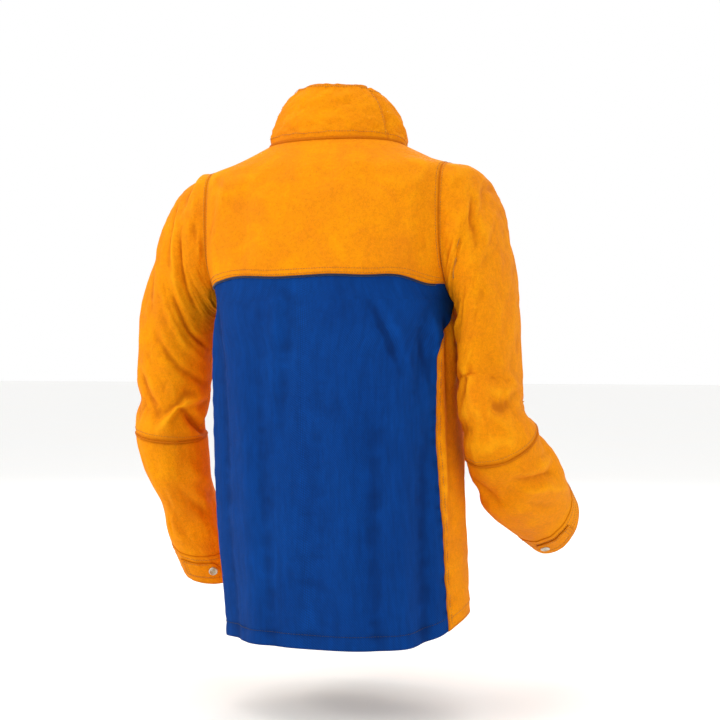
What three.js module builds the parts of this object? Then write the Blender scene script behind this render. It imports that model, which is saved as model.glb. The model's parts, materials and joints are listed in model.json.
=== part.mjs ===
// Leather welding jacket: split-leather yoke, fronts, sleeves and collar, with a cotton back panel.
// Millimetres, +Z up. The back of the jacket faces +Y and the wearer's left arm is on +X.
// The origin is the middle of the neck opening, level with the back neck seam.
import * as THREE from 'three';

// Materials' thicknesses and the clearances between layers
const leather = 1.4;
const doubledLeather = 2.6;
const cotton = 0.8;
const seamGap = 0.4; // between the edges of two panels that meet at a seam
const layerGap = 0.4; // between two layers that lie on each other

// Body
const backLength = 768; // back neck seam to hem
const neckHalfWidth = 112;
const neckHalfDepth = 84;
const frontNeckDrop = 62;
const shoulderHalfWidth = 228;
const shoulderDepth = 46; // how far the shoulder line falls
const chestHalfWidth = 201;
const chestHalfDepth = 157;
const hemHalfWidth = 195;
const hemHalfDepth = 162;
const hemLean = 13; // the hem hangs this far towards the wearer's right
const armholeX = 193; // the armhole seams lie in the planes x = +-armholeX
const armpitDepth = 250;
const yokeAboveArmpit = 44; // the yoke seam crosses the back this far above the armpits
const yokeEndDroop = 14; // and is lower at the armholes
const sideSeamTop = 66; // degrees round from the middle of the back
const sideSeamLow = 71;
const sideSeamReach = 90; // depth that the seam takes to come round from the armpit

// Front opening
const foldNeckX = 40; // the line along which a front folds open, at the neck and at the hem
const foldHemX = 148;
const overlapHalf = 16; // each front passes the centre line by this much
const snapCloseHeight = 1.8; // between the two plackets where they are snapped together
const facingWidth = 32;
const snapCount = 5;
const snapFirst = 95; // depth of the first and the last snap below the neck seam
const snapLast = 700;

// Collar
const collarHeight = 87;
const collarFrontHeight = 62;
const collarTopHalfWidth = 66;
const collarTopHalfDepth = 62;
const collarFrontSpread = 158; // degrees round, where the collar ends at the front
const collarFlare = 10; // the collar's front ends stand this far outwards

// Sleeves: the outer and the inner line of each, from the armhole to the cuff's end
const sleeveHalfDepths = [[0, 92], [0.3, 86], [0.6, 74], [0.8, 65], [0.9, 60], [1, 53]];
const elbowAt = 0.8; // share of the way through the lines' points
const cuffLength = 56;
const elbowGap = 1; // the elbow seam is a little open, to bend
const sleeveLines = {
  left: {
    outer: [[236, 0, -48], [273, 0, -69], [300, 1, -108], [321, 2, -165], [339, 4, -230], [348, 8, -310],
      [349, 13, -390], [348, 14, -455], [335, -28, -575], [314, -80, -690]],
    inner: [[200, 0, -256], [208, 0, -264], [215, 1, -278], [222, 1, -300], [227, 3, -330], [230, 5, -370],
      [231, 10, -420], [232, 14, -470], [226, -40, -590], [210, -96, -702]],
  },
  right: {
    outer: [[-232, 0, -54], [-254, 0, -80], [-272, 2, -118], [-286, 4, -175], [-297, 8, -262],
      [-301, 18, -362], [-308, 24, -402], [-326, 8, -456], [-345, -50, -502], [-341, -198, -568]],
    inner: [[-200, 0, -256], [-206, 0, -264], [-209, 1, -278], [-210, 1, -300], [-210, 4, -335],
      [-210, 8, -372], [-209, 17, -418], [-209, 0, -480], [-208, -66, -550], [-256, -222, -648]],
  },
};
const cuffTab = { from: 0.17, to: 0.36, width: 30, snapFromEnd: 0.035 };

// Snaps
const snapRadius = 7.5;
const snapCapHeight = 2;
const studRadius = 4.2;
const studHeight = 1;

// Hang loop and blank label, inside the back of the neck
const loopSpan = 62;
const loopStandOff = 9;
const loopBand = 10;
const loopThickness = 2;
const loopDepth = 14; // below the neck seam
const labelDepths = [78, 94, 110];
const labelHalfAngle = 3;

const gold = 0xf39a08;
const goldShade = 0xe08a0a;
const blue = 0x0a3f8c;
const steel = 0xb9b9b4;

const radians = THREE.MathUtils.degToRad;
const jacket = new THREE.Group();

function addPiece(name, geometry, color, roughness = 0.9, metalness = 0) {
  const mesh = new THREE.Mesh(geometry, new THREE.MeshStandardMaterial({ color, roughness, metalness }));
  mesh.name = name;
  jacket.add(mesh);
  return mesh;
}

// A smooth value through [position, value] knots
function along(knots, at) {
  const last = knots.length - 1;
  let i = 0;
  while (i < last - 1 && at > knots[i + 1][0]) i += 1;
  const slope = (k) => {
    const before = knots[Math.max(k - 1, 0)];
    const after = knots[Math.min(k + 1, last)];
    return (after[1] - before[1]) / (after[0] - before[0]);
  };
  const step = knots[i + 1][0] - knots[i][0];
  const t = THREE.MathUtils.clamp((at - knots[i][0]) / step, 0, 1);
  const rise = knots[i + 1][1] - knots[i][1];
  const bend = t * (1 - t) * ((1 - t) * (slope(i) * step - rise) - t * (slope(i + 1) * step - rise));
  return knots[i][1] + rise * t + bend;
}

// Body surface: angle in degrees round from the middle of the back (+ towards the wearer's left), depth
// in mm below the neck seam
const halfWidths = [[0, neckHalfWidth],
  [shoulderDepth * 0.6, neckHalfWidth + 0.5 * (shoulderHalfWidth - neckHalfWidth)],
  [shoulderDepth, shoulderHalfWidth - 8], [shoulderDepth + 34, shoulderHalfWidth],
  [armpitDepth * 0.7, shoulderHalfWidth - 12], [armpitDepth, armholeX], [armpitDepth + 60, chestHalfWidth],
  [backLength * 0.65, hemHalfWidth], [backLength, hemHalfWidth]];
const halfDepths = [[0, neckHalfDepth], [shoulderDepth, neckHalfDepth + 40], [armpitDepth * 0.5, chestHalfDepth - 14],
  [armpitDepth, chestHalfDepth - 2], [armpitDepth * 1.6, chestHalfDepth], [backLength, hemHalfDepth]];
const squareness = [[0, 2], [shoulderDepth * 2, 2.4], [backLength, 2.4]];

function bodySurface(angle, depth) {
  const power = 2 / along(squareness, depth);
  const sine = Math.sin(radians(angle));
  const cosine = Math.cos(radians(angle));
  const lean = hemLean * Math.max(0, (depth - backLength / 2) / (backLength / 2)) ** 1.5;
  const drop = frontNeckDrop * ((1 - cosine) / 2) ** 3 * Math.max(0, 1 - depth / armpitDepth);
  return new THREE.Vector3(
    along(halfWidths, depth) * Math.sign(sine) * Math.abs(sine) ** power - lean,
    along(halfDepths, depth) * Math.sign(cosine) * Math.abs(cosine) ** power,
    -depth - drop,
  );
}

// The angle at which the body surface meets an armhole's plane, 90 where it is inside it
function armholeAngle(depth, plane = armholeX - seamGap) {
  const ratio = plane / along(halfWidths, depth);
  if (ratio >= 1) return 90;
  return THREE.MathUtils.radToDeg(Math.asin(ratio ** (along(squareness, depth) / 2)));
}

// The depth at which the shoulder reaches the armhole's plane
const armholeTopDepth = (() => {
  let [high, low] = [0, shoulderDepth + 34];
  for (let i = 0; i < 40; i += 1) {
    const middle = (high + low) / 2;
    if (along(halfWidths, middle) < armholeX) high = middle; else low = middle;
  }
  return low;
})();

// The side seam runs from the armpit back round to the back of the body, then down to the hem
function sideSeamAngle(depth) {
  const { smoothstep } = THREE.MathUtils;
  return 90 + (sideSeamTop - 90) * smoothstep(depth, armpitDepth, armpitDepth + sideSeamReach)
    + (sideSeamLow - sideSeamTop) * smoothstep(depth, armpitDepth + sideSeamReach, backLength);
}

const yokeSeamDepth = (angle) => (
  armpitDepth - yokeAboveArmpit + yokeEndDroop * THREE.MathUtils.smoothstep(Math.abs(angle), 30, 66));
const foldX = (depth) => foldNeckX + (foldHemX - foldNeckX) * (depth / backLength);
const foldAngle = (depth) => {
  const ratio = (foldX(depth) / along(halfWidths, depth)) ** (along(squareness, depth) / 2);
  return 180 - THREE.MathUtils.radToDeg(Math.asin(ratio));
};
const gapAngle = (depth) => THREE.MathUtils.radToDeg(seamGap / 2 / along(halfDepths, depth));

// A panel with a thickness: surface(u, v) with v from 0 to 1 and u from 0 to 1, between two offsets along
// its normal. A closed one is a tube that runs round in u, and a square start keeps its first edge in its plane.
function shell({ surface, columns, rows, inner, outer, closed = false, turn = 1, squareStart = false }) {
  const points = [];
  const across = closed ? columns : columns + 1;
  const nudge = 1e-3;
  const normalAt = (u, v) => {
    const u0 = closed ? u - nudge : Math.max(u - nudge, 0);
    const u1 = closed ? u + nudge : Math.min(u + nudge, 1);
    const du = surface(u1, v).sub(surface(u0, v));
    const dv = surface(u, Math.min(v + nudge, 1)).sub(surface(u, Math.max(v - nudge, 0)));
    const normal = du.cross(dv);
    if (squareStart && v === 0) normal.x = 0;
    return normal.normalize().multiplyScalar(turn);
  };
  const offsetAt = (offset, u, v) => (typeof offset === 'function' ? offset(u, v) : offset);
  for (const offset of [outer, inner]) {
    for (let j = 0; j <= rows; j += 1) {
      for (let i = 0; i < across; i += 1) {
        const [u, v] = [i / columns, j / rows];
        points.push(surface(u, v).addScaledVector(normalAt(u, v), offsetAt(offset, u, v)));
      }
    }
  }
  const index = (layer, i, j) => layer * across * (rows + 1) + j * across + (closed ? i % columns : i);
  const faces = [];
  const quad = (a, b, c, d) => faces.push(a, b, c, a, c, d);
  for (let j = 0; j < rows; j += 1) {
    for (let i = 0; i < columns; i += 1) {
      quad(index(0, i, j), index(0, i + 1, j), index(0, i + 1, j + 1), index(0, i, j + 1));
      quad(index(1, i, j), index(1, i, j + 1), index(1, i + 1, j + 1), index(1, i + 1, j));
    }
  }
  for (let i = 0; i < columns; i += 1) {
    quad(index(0, i + 1, 0), index(0, i, 0), index(1, i, 0), index(1, i + 1, 0));
    quad(index(0, i, rows), index(0, i + 1, rows), index(1, i + 1, rows), index(1, i, rows));
  }
  if (!closed) {
    for (let j = 0; j < rows; j += 1) {
      quad(index(0, 0, j), index(0, 0, j + 1), index(1, 0, j + 1), index(1, 0, j));
      quad(index(0, columns, j + 1), index(0, columns, j), index(1, columns, j), index(1, columns, j + 1));
    }
  }
  return solid(points, faces);
}

// A geometry from points and triangles, turned so that its faces point out
function solid(points, faces) {
  let volume = 0;
  for (let k = 0; k < faces.length; k += 3) {
    const [a, b, c] = [points[faces[k]], points[faces[k + 1]], points[faces[k + 2]]];
    volume += a.dot(b.clone().cross(c));
  }
  if (volume < 0) faces.reverse();
  const geometry = new THREE.BufferGeometry().setFromPoints(points);
  geometry.setIndex(faces);
  geometry.computeVertexNormals();
  return geometry;
}

// Depths at which the body panels have their rows; panels that meet share them, so that their edges match
const shoulderRows = [0, 0.36, 0.7, 1].map((share) => share * armholeTopDepth);
const armholeRows = [0.02, 0.06, 0.14, 0.26, 0.43, 0.6].map((share) => (
  THREE.MathUtils.lerp(armholeTopDepth, armpitDepth, share)));
const armpitRows = [30, 14, 5, 1, -1].map((above) => armpitDepth - above);
const sideRows = [0.2, 0.5, 0.8, 1].map((share) => armpitDepth + share * sideSeamReach);
const lowRows = [0.25, 0.5, 0.75, 1].map((share) => (
  THREE.MathUtils.lerp(armpitDepth + sideSeamReach, backLength, share)));

const frontRows = [...shoulderRows, ...armholeRows, ...armpitRows, ...sideRows, ...lowRows];

// A body panel: from one angle to another, each a function of depth, and down through a list of depths,
// each a number or a function of the angle
function bodyPanel({ fromAngle, toAngle, depths, ...rest }) {
  const depthAt = (row, angle) => (typeof depths[row] === 'function' ? depths[row](angle) : depths[row]);
  const rows = depths.length - 1;
  const surface = (u, v) => {
    const row = Math.min(Math.floor(v * rows), rows - 1);
    let angle = 0;
    let depth = 0;
    for (let pass = 0; pass < 6; pass += 1) {
      depth = THREE.MathUtils.lerp(depthAt(row, angle), depthAt(row + 1, angle), v * rows - row);
      angle = THREE.MathUtils.lerp(fromAngle(depth), toAngle(depth), u);
    }
    return bodySurface(angle, depth);
  };
  return shell({ surface, rows, ...rest });
}

// Back: the yoke from the neck to the yoke seam, over the shoulders, and the cotton panel below it
const shoulderLimit = (depth) => Math.min(90 - gapAngle(depth), armholeAngle(depth));
addPiece('back_yoke', bodyPanel({
  fromAngle: (depth) => -shoulderLimit(depth),
  toAngle: shoulderLimit,
  depths: [...shoulderRows, ...armholeRows, (angle) => yokeSeamDepth(angle) - seamGap / 2],
  columns: 30, inner: -leather, outer: 0,
}), gold);

const backEdge = (depth) => (
  depth < armpitDepth ? armholeAngle(depth) : sideSeamAngle(depth)) - gapAngle(depth);
addPiece('back_panel', bodyPanel({
  fromAngle: (depth) => -backEdge(depth),
  toAngle: backEdge,
  depths: [(angle) => yokeSeamDepth(angle) + seamGap / 2, ...armpitRows.slice(1), ...sideRows, ...lowRows],
  columns: 24, inner: -cotton, outer: 0,
}), blue);

// Fronts: a side part that carries the armhole, and the front part that folds open from it
const frontStart = (depth) => {
  if (depth < armpitDepth) return Math.max(90 + gapAngle(depth), 180 - armholeAngle(depth));
  return sideSeamAngle(depth) + gapAngle(depth);
};
for (const [name, side] of [['left', 1], ['right', -1]]) {
  addPiece(`${name}_front_side`, bodyPanel({
    fromAngle: (depth) => side * frontStart(depth),
    toAngle: (depth) => side * (foldAngle(depth) - gapAngle(depth)),
    depths: frontRows,
    columns: 8, inner: -leather, outer: 0, turn: side,
  }), gold);
}

// Angle on a front at a distance past the centre line of the opening
const centreAngle = (depth, past) => {
  const wide = along(halfWidths, depth);
  const ratio = (Math.abs(past) / wide) ** (along(squareness, depth) / 2);
  return 180 + Math.sign(past) * THREE.MathUtils.radToDeg(Math.asin(ratio));
};
const overlapStack = {
  rightFront: [-leather, 0],
  rightPlacket: [layerGap, layerGap + leather],
  leftFacing: [2 * layerGap + leather + snapCloseHeight, 2 * layerGap + 2 * leather + snapCloseHeight],
  leftFront: [3 * layerGap + 2 * leather + snapCloseHeight, 3 * layerGap + 3 * leather + snapCloseHeight],
};

function front(side, from, to, [inner, outer], columns, depths = frontRows) {
  return bodyPanel({
    fromAngle: (depth) => side * from(depth),
    toAngle: (depth) => side * to(depth),
    depths, columns, inner, outer, turn: side,
  });
}
const foldEdge = (depth) => foldAngle(depth) + gapAngle(depth);
const frontEdge = (depth) => centreAngle(depth, overlapHalf);
// the under front's corner is cut away at the neck
const underEdge = (depth) => centreAngle(depth, overlapHalf * THREE.MathUtils.smoothstep(depth, -40, 60));
const stripEdge = (depth) => centreAngle(depth, overlapHalf - facingWidth);
// the left front rises over the overlap: offsets as functions of how far round the point is
const riseOver = (low, high) => (u) => low + (high - low) * THREE.MathUtils.smoothstep(u, 0.02, 0.3);
addPiece('right_front', front(-1, foldEdge, underEdge, overlapStack.rightFront, 8), gold);
addPiece('left_front', front(1, foldEdge, frontEdge, [
  riseOver(-leather, overlapStack.leftFront[0]), riseOver(0, overlapStack.leftFront[1])], 8), gold);
const stripRows = frontRows.slice(3); // the strips start below the neckline
addPiece('right_placket', front(-1, stripEdge, underEdge, overlapStack.rightPlacket, 3, stripRows), goldShade);
addPiece('left_facing', front(1, stripEdge, frontEdge, overlapStack.leftFacing, 3, stripRows), goldShade);

// Collar: an outer leaf and its lining, from the neck seam up to the top edge
function collarSurface(u, v) {
  const angle = THREE.MathUtils.lerp(-collarFrontSpread, collarFrontSpread, u);
  const sine = Math.sin(radians(angle));
  const cosine = Math.cos(radians(angle));
  const frontness = ((1 - cosine) / 2) ** 2;
  const taper = v ** 2.4;
  const flare = 1 + (collarFlare / neckHalfWidth) * frontness * v * 2;
  const seam = bodySurface(angle, 0);
  const height = THREE.MathUtils.lerp(collarHeight, collarFrontHeight, frontness);
  return new THREE.Vector3(
    THREE.MathUtils.lerp(neckHalfWidth, collarTopHalfWidth, taper) * sine * flare,
    THREE.MathUtils.lerp(neckHalfDepth, collarTopHalfDepth, taper) * cosine * flare,
    seam.z + seamGap + height * v,
  );
}
const collarColumns = 30;
const collarRows = 6;
addPiece('collar_outer', shell({
  surface: collarSurface, columns: collarColumns, rows: collarRows, inner: -leather, outer: 0, turn: -1,
}), gold);
addPiece('collar_lining', shell({
  surface: collarSurface, columns: collarColumns, rows: collarRows, turn: -1,
  inner: -leather - layerGap - cotton, outer: -leather - layerGap,
}), goldShade);

// Sleeves: rings between an outer and an inner line. The first ring is the armhole seam itself.
function armholeRing(side, w) {
  const middle = (armholeTopDepth + armpitDepth) / 2;
  const half = (armpitDepth - armholeTopDepth) / 2;
  const depth = middle - half * Math.cos(2 * Math.PI * w);
  const back = armholeAngle(depth, armholeX);
  const angle = Math.sin(2 * Math.PI * w) >= 0 ? back : 180 - back;
  const point = bodySurface(side * angle, depth);
  point.x = side * (armholeX + seamGap);
  return point;
}

function makeSleeve(side, lines) {
  const start = (w) => armholeRing(side, w);
  const curve = (first, rest) => new THREE.CatmullRomCurve3(
    [first, ...rest.map((p) => new THREE.Vector3(...p))], false, 'centripetal');
  const outerLine = curve(start(0), lines.outer);
  const innerLine = curve(start(0.5), lines.inner);
  const centre = (s) => outerLine.getPoint(s).add(innerLine.getPoint(s)).multiplyScalar(0.5);
  // the share of the way that a length takes at a place on the sleeve
  const share = (length, s) => (length * 0.01) / centre(s).distanceTo(centre(s - 0.01));
  const surface = (w, s) => {
    const nudge = 1e-3;
    const way = centre(Math.min(s + nudge, 1)).sub(centre(Math.max(s - nudge, 0))).normalize();
    const half = outerLine.getPoint(s).sub(innerLine.getPoint(s)).multiplyScalar(0.5);
    const across = half.clone().cross(way).normalize().multiplyScalar(side * along(sleeveHalfDepths, s));
    const point = centre(s)
      .addScaledVector(half, Math.cos(2 * Math.PI * w))
      .addScaledVector(across, Math.sin(2 * Math.PI * w));
    const fade = 1 - THREE.MathUtils.smoothstep(s, 0, 0.14);
    if (fade === 0) return point;
    const own = centre(0)
      .addScaledVector(outerLine.getPoint(0).sub(centre(0)), Math.cos(2 * Math.PI * w))
      .add(new THREE.Vector3(0, sleeveHalfDepths[0][1] * Math.sin(2 * Math.PI * w), 0));
    if (s === 0) return start(w);
    return point.addScaledVector(start(w).sub(own), fade);
  };
  return { surface, share };
}

const sleeveColumns = 26;
function sleevePart(side, sleeve, from, to, rows, inner, outer) {
  return shell({
    surface: (u, v) => sleeve(u, THREE.MathUtils.lerp(from, to, v)),
    columns: sleeveColumns, rows, inner, outer, closed: true, turn: -side, squareStart: from === 0,
  });
}

const cuffOuter = doubledLeather - leather;
const tabInner = cuffOuter + layerGap + 0.3;

// A turned snap part on a surface, with its axis along the surface's normal
function addSnapPart(name, surface, turn, u, v, offset, radius, height) {
  const nudge = 1e-3;
  const du = surface(u + nudge, v).sub(surface(u - nudge, v));
  const dv = surface(u, v + nudge).sub(surface(u, v - nudge));
  const normal = du.cross(dv).normalize().multiplyScalar(turn);
  const profile = [[0, 0], [radius, 0], [radius, height * 0.45], [radius * 0.72, height * 0.9], [0, height]];
  const geometry = new THREE.LatheGeometry(profile.map(([x, y]) => new THREE.Vector2(x, y)), 16);
  const mesh = addPiece(name, geometry, steel, 0.35, 0.9);
  mesh.quaternion.setFromUnitVectors(new THREE.Vector3(0, 1, 0), normal);
  mesh.position.copy(surface(u, v)).addScaledVector(normal, offset);
}

for (const [name, side] of [['left', 1], ['right', -1]]) {
  const { surface, share } = makeSleeve(side, sleeveLines[name]);
  const halfElbow = share(elbowGap / 2, elbowAt);
  const halfSeam = share(seamGap / 2, 1);
  const cuffAt = 1 - share(cuffLength, 1);
  addPiece(`${name}_upper_sleeve`, sleevePart(side, surface, 0, elbowAt - halfElbow, 14, -leather, 0), gold);
  addPiece(`${name}_forearm_sleeve`,
    sleevePart(side, surface, elbowAt + halfElbow, cuffAt - halfSeam, 8, -leather, 0), gold);
  addPiece(`${name}_cuff`, sleevePart(side, surface, cuffAt + halfSeam, 1, 3, -leather, cuffOuter), goldShade);
  const tabMiddle = (cuffAt + 1) / 2;
  const tabHalf = share(cuffTab.width / 2, 1);
  addPiece(`${name}_cuff_tab`, shell({
    surface: (u, v) => surface(
      THREE.MathUtils.lerp(cuffTab.from, cuffTab.to, u),
      THREE.MathUtils.lerp(tabMiddle - tabHalf, tabMiddle + tabHalf, v)),
    columns: 6, rows: 2, inner: tabInner, outer: tabInner + leather, turn: -side,
  }), gold);
  addSnapPart(`${name}_cuff_snap`, surface, -side, cuffTab.to - cuffTab.snapFromEnd, tabMiddle,
    tabInner + leather + layerGap, snapRadius, snapCapHeight);
}

// Snaps of the front: caps on the left front, studs on the right placket
for (let k = 0; k < snapCount; k += 1) {
  const depth = THREE.MathUtils.lerp(snapFirst, snapLast, k / (snapCount - 1));
  addSnapPart(`snap_cap_${k + 1}`, bodySurface, 1, 180, depth, overlapStack.leftFront[1] + layerGap,
    snapRadius, snapCapHeight);
  addSnapPart(`snap_stud_${k + 1}`, bodySurface, 1, 180, depth, overlapStack.rightPlacket[1] + layerGap,
    studRadius, studHeight);
}

// Hang loop: a strap across the inside of the back neck, held at its two ends
function hangLoop() {
  const top = loopDepth - loopBand; // the neck is narrowest at the strap's upper edge
  const wide = along(halfWidths, top) - leather;
  const deep = along(halfDepths, top) - leather - layerGap;
  const steps = 12;
  const edge = (standOff) => Array.from({ length: steps + 1 }, (_, i) => {
    const x = loopSpan * (i / steps - 0.5);
    const bow = Math.min(1, 2.2 * Math.sin((Math.PI * i) / steps));
    return new THREE.Vector2(x, deep * Math.sqrt(1 - (x / wide) ** 2) - standOff - loopStandOff * bow);
  });
  const outline = [...edge(0), ...edge(loopThickness).reverse()];
  return new THREE.ExtrudeGeometry(new THREE.Shape(outline), { depth: loopBand, bevelEnabled: false });
}
addPiece('hang_loop', hangLoop(), blue).position.z = -loopDepth;

addPiece('size_label', bodyPanel({
  fromAngle: () => -labelHalfAngle,
  toAngle: () => labelHalfAngle,
  depths: labelDepths,
  columns: 6, inner: -leather - 2 * layerGap - cotton, outer: -leather - 2 * layerGap,
}), 0xe8e6e0);

export default jacket;
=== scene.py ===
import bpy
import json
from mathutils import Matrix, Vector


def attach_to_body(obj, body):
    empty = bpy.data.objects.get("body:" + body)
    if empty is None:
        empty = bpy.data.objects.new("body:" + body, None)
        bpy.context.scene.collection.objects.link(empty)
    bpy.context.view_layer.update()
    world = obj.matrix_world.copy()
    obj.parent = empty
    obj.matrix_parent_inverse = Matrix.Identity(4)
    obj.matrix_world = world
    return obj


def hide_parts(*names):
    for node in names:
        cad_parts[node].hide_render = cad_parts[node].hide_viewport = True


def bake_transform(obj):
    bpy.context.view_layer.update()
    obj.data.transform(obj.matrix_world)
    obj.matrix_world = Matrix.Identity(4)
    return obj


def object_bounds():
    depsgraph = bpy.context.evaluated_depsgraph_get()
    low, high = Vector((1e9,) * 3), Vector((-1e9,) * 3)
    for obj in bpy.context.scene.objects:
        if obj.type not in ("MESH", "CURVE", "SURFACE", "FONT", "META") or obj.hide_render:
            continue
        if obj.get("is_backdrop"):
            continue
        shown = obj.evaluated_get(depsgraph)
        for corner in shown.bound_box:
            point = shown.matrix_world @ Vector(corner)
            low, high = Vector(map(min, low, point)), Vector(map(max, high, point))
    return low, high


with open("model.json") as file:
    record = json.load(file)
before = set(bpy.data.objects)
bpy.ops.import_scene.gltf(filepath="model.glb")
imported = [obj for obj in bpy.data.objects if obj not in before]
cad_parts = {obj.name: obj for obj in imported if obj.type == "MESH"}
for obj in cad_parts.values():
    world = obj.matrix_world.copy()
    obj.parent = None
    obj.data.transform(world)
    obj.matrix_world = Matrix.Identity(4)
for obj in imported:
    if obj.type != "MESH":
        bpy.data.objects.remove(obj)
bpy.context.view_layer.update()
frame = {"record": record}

import json
import math

import bmesh
import bpy
import numpy as np
from mathutils import Matrix, Vector

# All the sizes below are in millimetres, and meshes are made in metres
mm = 0.001
bpy.ops.object.select_all(action="DESELECT")


# Camera, lights and floor
studio = {
    "aim": (-0.032, -0.012, -0.342), "away": 2.3, "lens": 72, "turn": 200,
    "floorDrop": 0.12, "floorSize": 60,
    "lights": [  # place, size, watts, colour
        ((2.6, 2.0, 1.5), 1.3, 46, "fff8ee"),
        ((-2.8, 1.2, 0.6), 2.2, 7, "f4f7ff"),
        ((0.8, -2.8, 1.5), 1.8, 40, "fffaf2"),
        ((0.0, 0.3, 2.6), 1.6, 22, "ffffff"),
    ],
    "world": "ffffff", "worldStrength": 1.0, "floor": "f6f6f5",
}


def linear(colour):  # an sRGB hex colour as the linear values that nodes take
    parts = [int(colour[i:i + 2], 16) / 255 for i in (0, 2, 4)]
    return tuple(c / 12.92 if c <= 0.04045 else ((c + 0.055) / 1.055) ** 2.4 for c in parts) + (1.0,)


def lookAt(thing, target):
    thing.rotation_euler = (Vector(target) - thing.location).to_track_quat("-Z", "Y").to_euler()


def makeStudio():
    turn = math.radians(studio["turn"])
    aim = Vector(studio["aim"])
    bpy.ops.object.camera_add(location=aim + studio["away"] * Vector((math.sin(turn), -math.cos(turn), 0)))
    camera = bpy.context.object
    camera.name = "studioCamera"
    camera.data.lens = studio["lens"]
    lookAt(camera, aim)
    bpy.context.scene.camera = camera
    for place, size, watts, colour in studio["lights"]:
        bpy.ops.object.light_add(type="AREA", location=place)
        light = bpy.context.object
        light.data.size, light.data.energy = size, watts
        light.data.color = linear(colour)[:3]
        lookAt(light, (0, 0, -0.36))
    world = bpy.data.worlds.new("softRoom")
    bpy.context.scene.world = world
    world.use_nodes = True
    background = world.node_tree.nodes["Background"]
    background.inputs["Color"].default_value = linear(studio["world"])
    background.inputs["Strength"].default_value = studio["worldStrength"]
    bpy.context.scene.view_settings.view_transform = "Standard"
    bpy.ops.mesh.primitive_plane_add(
        size=studio["floorSize"], location=(0, 0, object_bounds()[0].z - studio["floorDrop"]))
    floor = bpy.context.object
    floor.name = "studioFloor"
    floor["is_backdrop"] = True
    return floor


studioFloor = makeStudio()
print("studio ready")


# Sizes that the solids have too
jacket = {
    "backLength": 768, "neckHalfWidth": 112, "neckHalfDepth": 84, "frontNeckDrop": 62,
    "shoulderDepth": 46, "hemLean": 13, "armholeX": 193, "armpitDepth": 250,
    "yokeDepth": 206, "yokeEndDroop": 14, "sideSeamTop": 66, "sideSeamLow": 71, "sideSeamReach": 90,
    "hemHitch": 44, "leftLean": 15,  # the hem is hitched up at the right, and hangs in at the left
    "foldNeckX": 40, "foldHemX": 148, "overlapHalf": 16, "facingWidth": 32,
    "halfWidths": [(0, 112), (27.6, 170), (46, 220), (80, 228), (175, 216), (250, 193), (310, 201),
                   (499.2, 195), (768, 195)],
    "halfDepths": [(0, 84), (46, 124), (125, 143), (250, 155), (400, 157), (768, 162)],
    "squareness": [(0, 2), (92, 2.4), (768, 2.4)],
}


def along(knots, at):  # a smooth value through (position, value) knots
    x, y = np.array(knots, float).T
    slope = np.empty_like(y)
    slope[1:-1] = (y[2:] - y[:-2]) / (x[2:] - x[:-2])
    slope[0], slope[-1] = (y[1] - y[0]) / (x[1] - x[0]), (y[-1] - y[-2]) / (x[-1] - x[-2])
    at = np.asarray(at, float)
    i = np.clip(np.searchsorted(x, at) - 1, 0, len(x) - 2)
    step, rise = x[i + 1] - x[i], y[i + 1] - y[i]
    t = np.clip((at - x[i]) / step, 0, 1)
    return y[i] + rise * t + t * (1 - t) * ((1 - t) * (slope[i] * step - rise) - t * (slope[i + 1] * step
                                                                                      - rise))


def smooth(at, low, high):
    t = np.clip((np.asarray(at, float) - low) / (high - low), 0, 1)
    return t * t * (3 - 2 * t)


def bodyPoint(angle, depth):  # degrees round from the middle of the back, millimetres below the neck seam
    angle, depth = np.broadcast_arrays(np.asarray(angle, float), np.asarray(depth, float))
    power = 2 / along(jacket["squareness"], depth)
    sine, cosine = np.sin(np.radians(angle)), np.cos(np.radians(angle))
    half = jacket["backLength"] / 2
    lean = jacket["hemLean"] * np.maximum(0, (depth - half) / half) ** 1.5
    drop = jacket["frontNeckDrop"] * ((1 - cosine) / 2) ** 3 * np.maximum(0, 1 - depth
                                                                          / jacket["armpitDepth"])
    low = smooth(depth, 420, jacket["backLength"])
    fromHitch = (angle + 105 + 180) % 360 - 180
    hitch = jacket["hemHitch"] * np.exp(-(fromHitch / 40) ** 2) * low
    lean = lean + jacket["leftLean"] * smooth(np.sin(np.radians(angle)), 0.2, 0.9) * low ** 2
    return np.stack([
        along(jacket["halfWidths"], depth) * np.sign(sine) * np.abs(sine) ** power - lean,
        along(jacket["halfDepths"], depth) * np.sign(cosine) * np.abs(cosine) ** power,
        -depth - drop + hitch], -1)


def armholeAngle(depth, plane):
    ratio = np.clip(plane / along(jacket["halfWidths"], depth), 0, 1)
    return np.degrees(np.arcsin(ratio ** (along(jacket["squareness"], depth) / 2)))


def armholeTop():
    high, low = 0.0, jacket["shoulderDepth"] + 34.0
    for _ in range(40):
        middle = (high + low) / 2
        if along(jacket["halfWidths"], middle) < jacket["armholeX"]:
            high = middle
        else:
            low = middle
    return low


armholeTopDepth = armholeTop()

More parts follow.
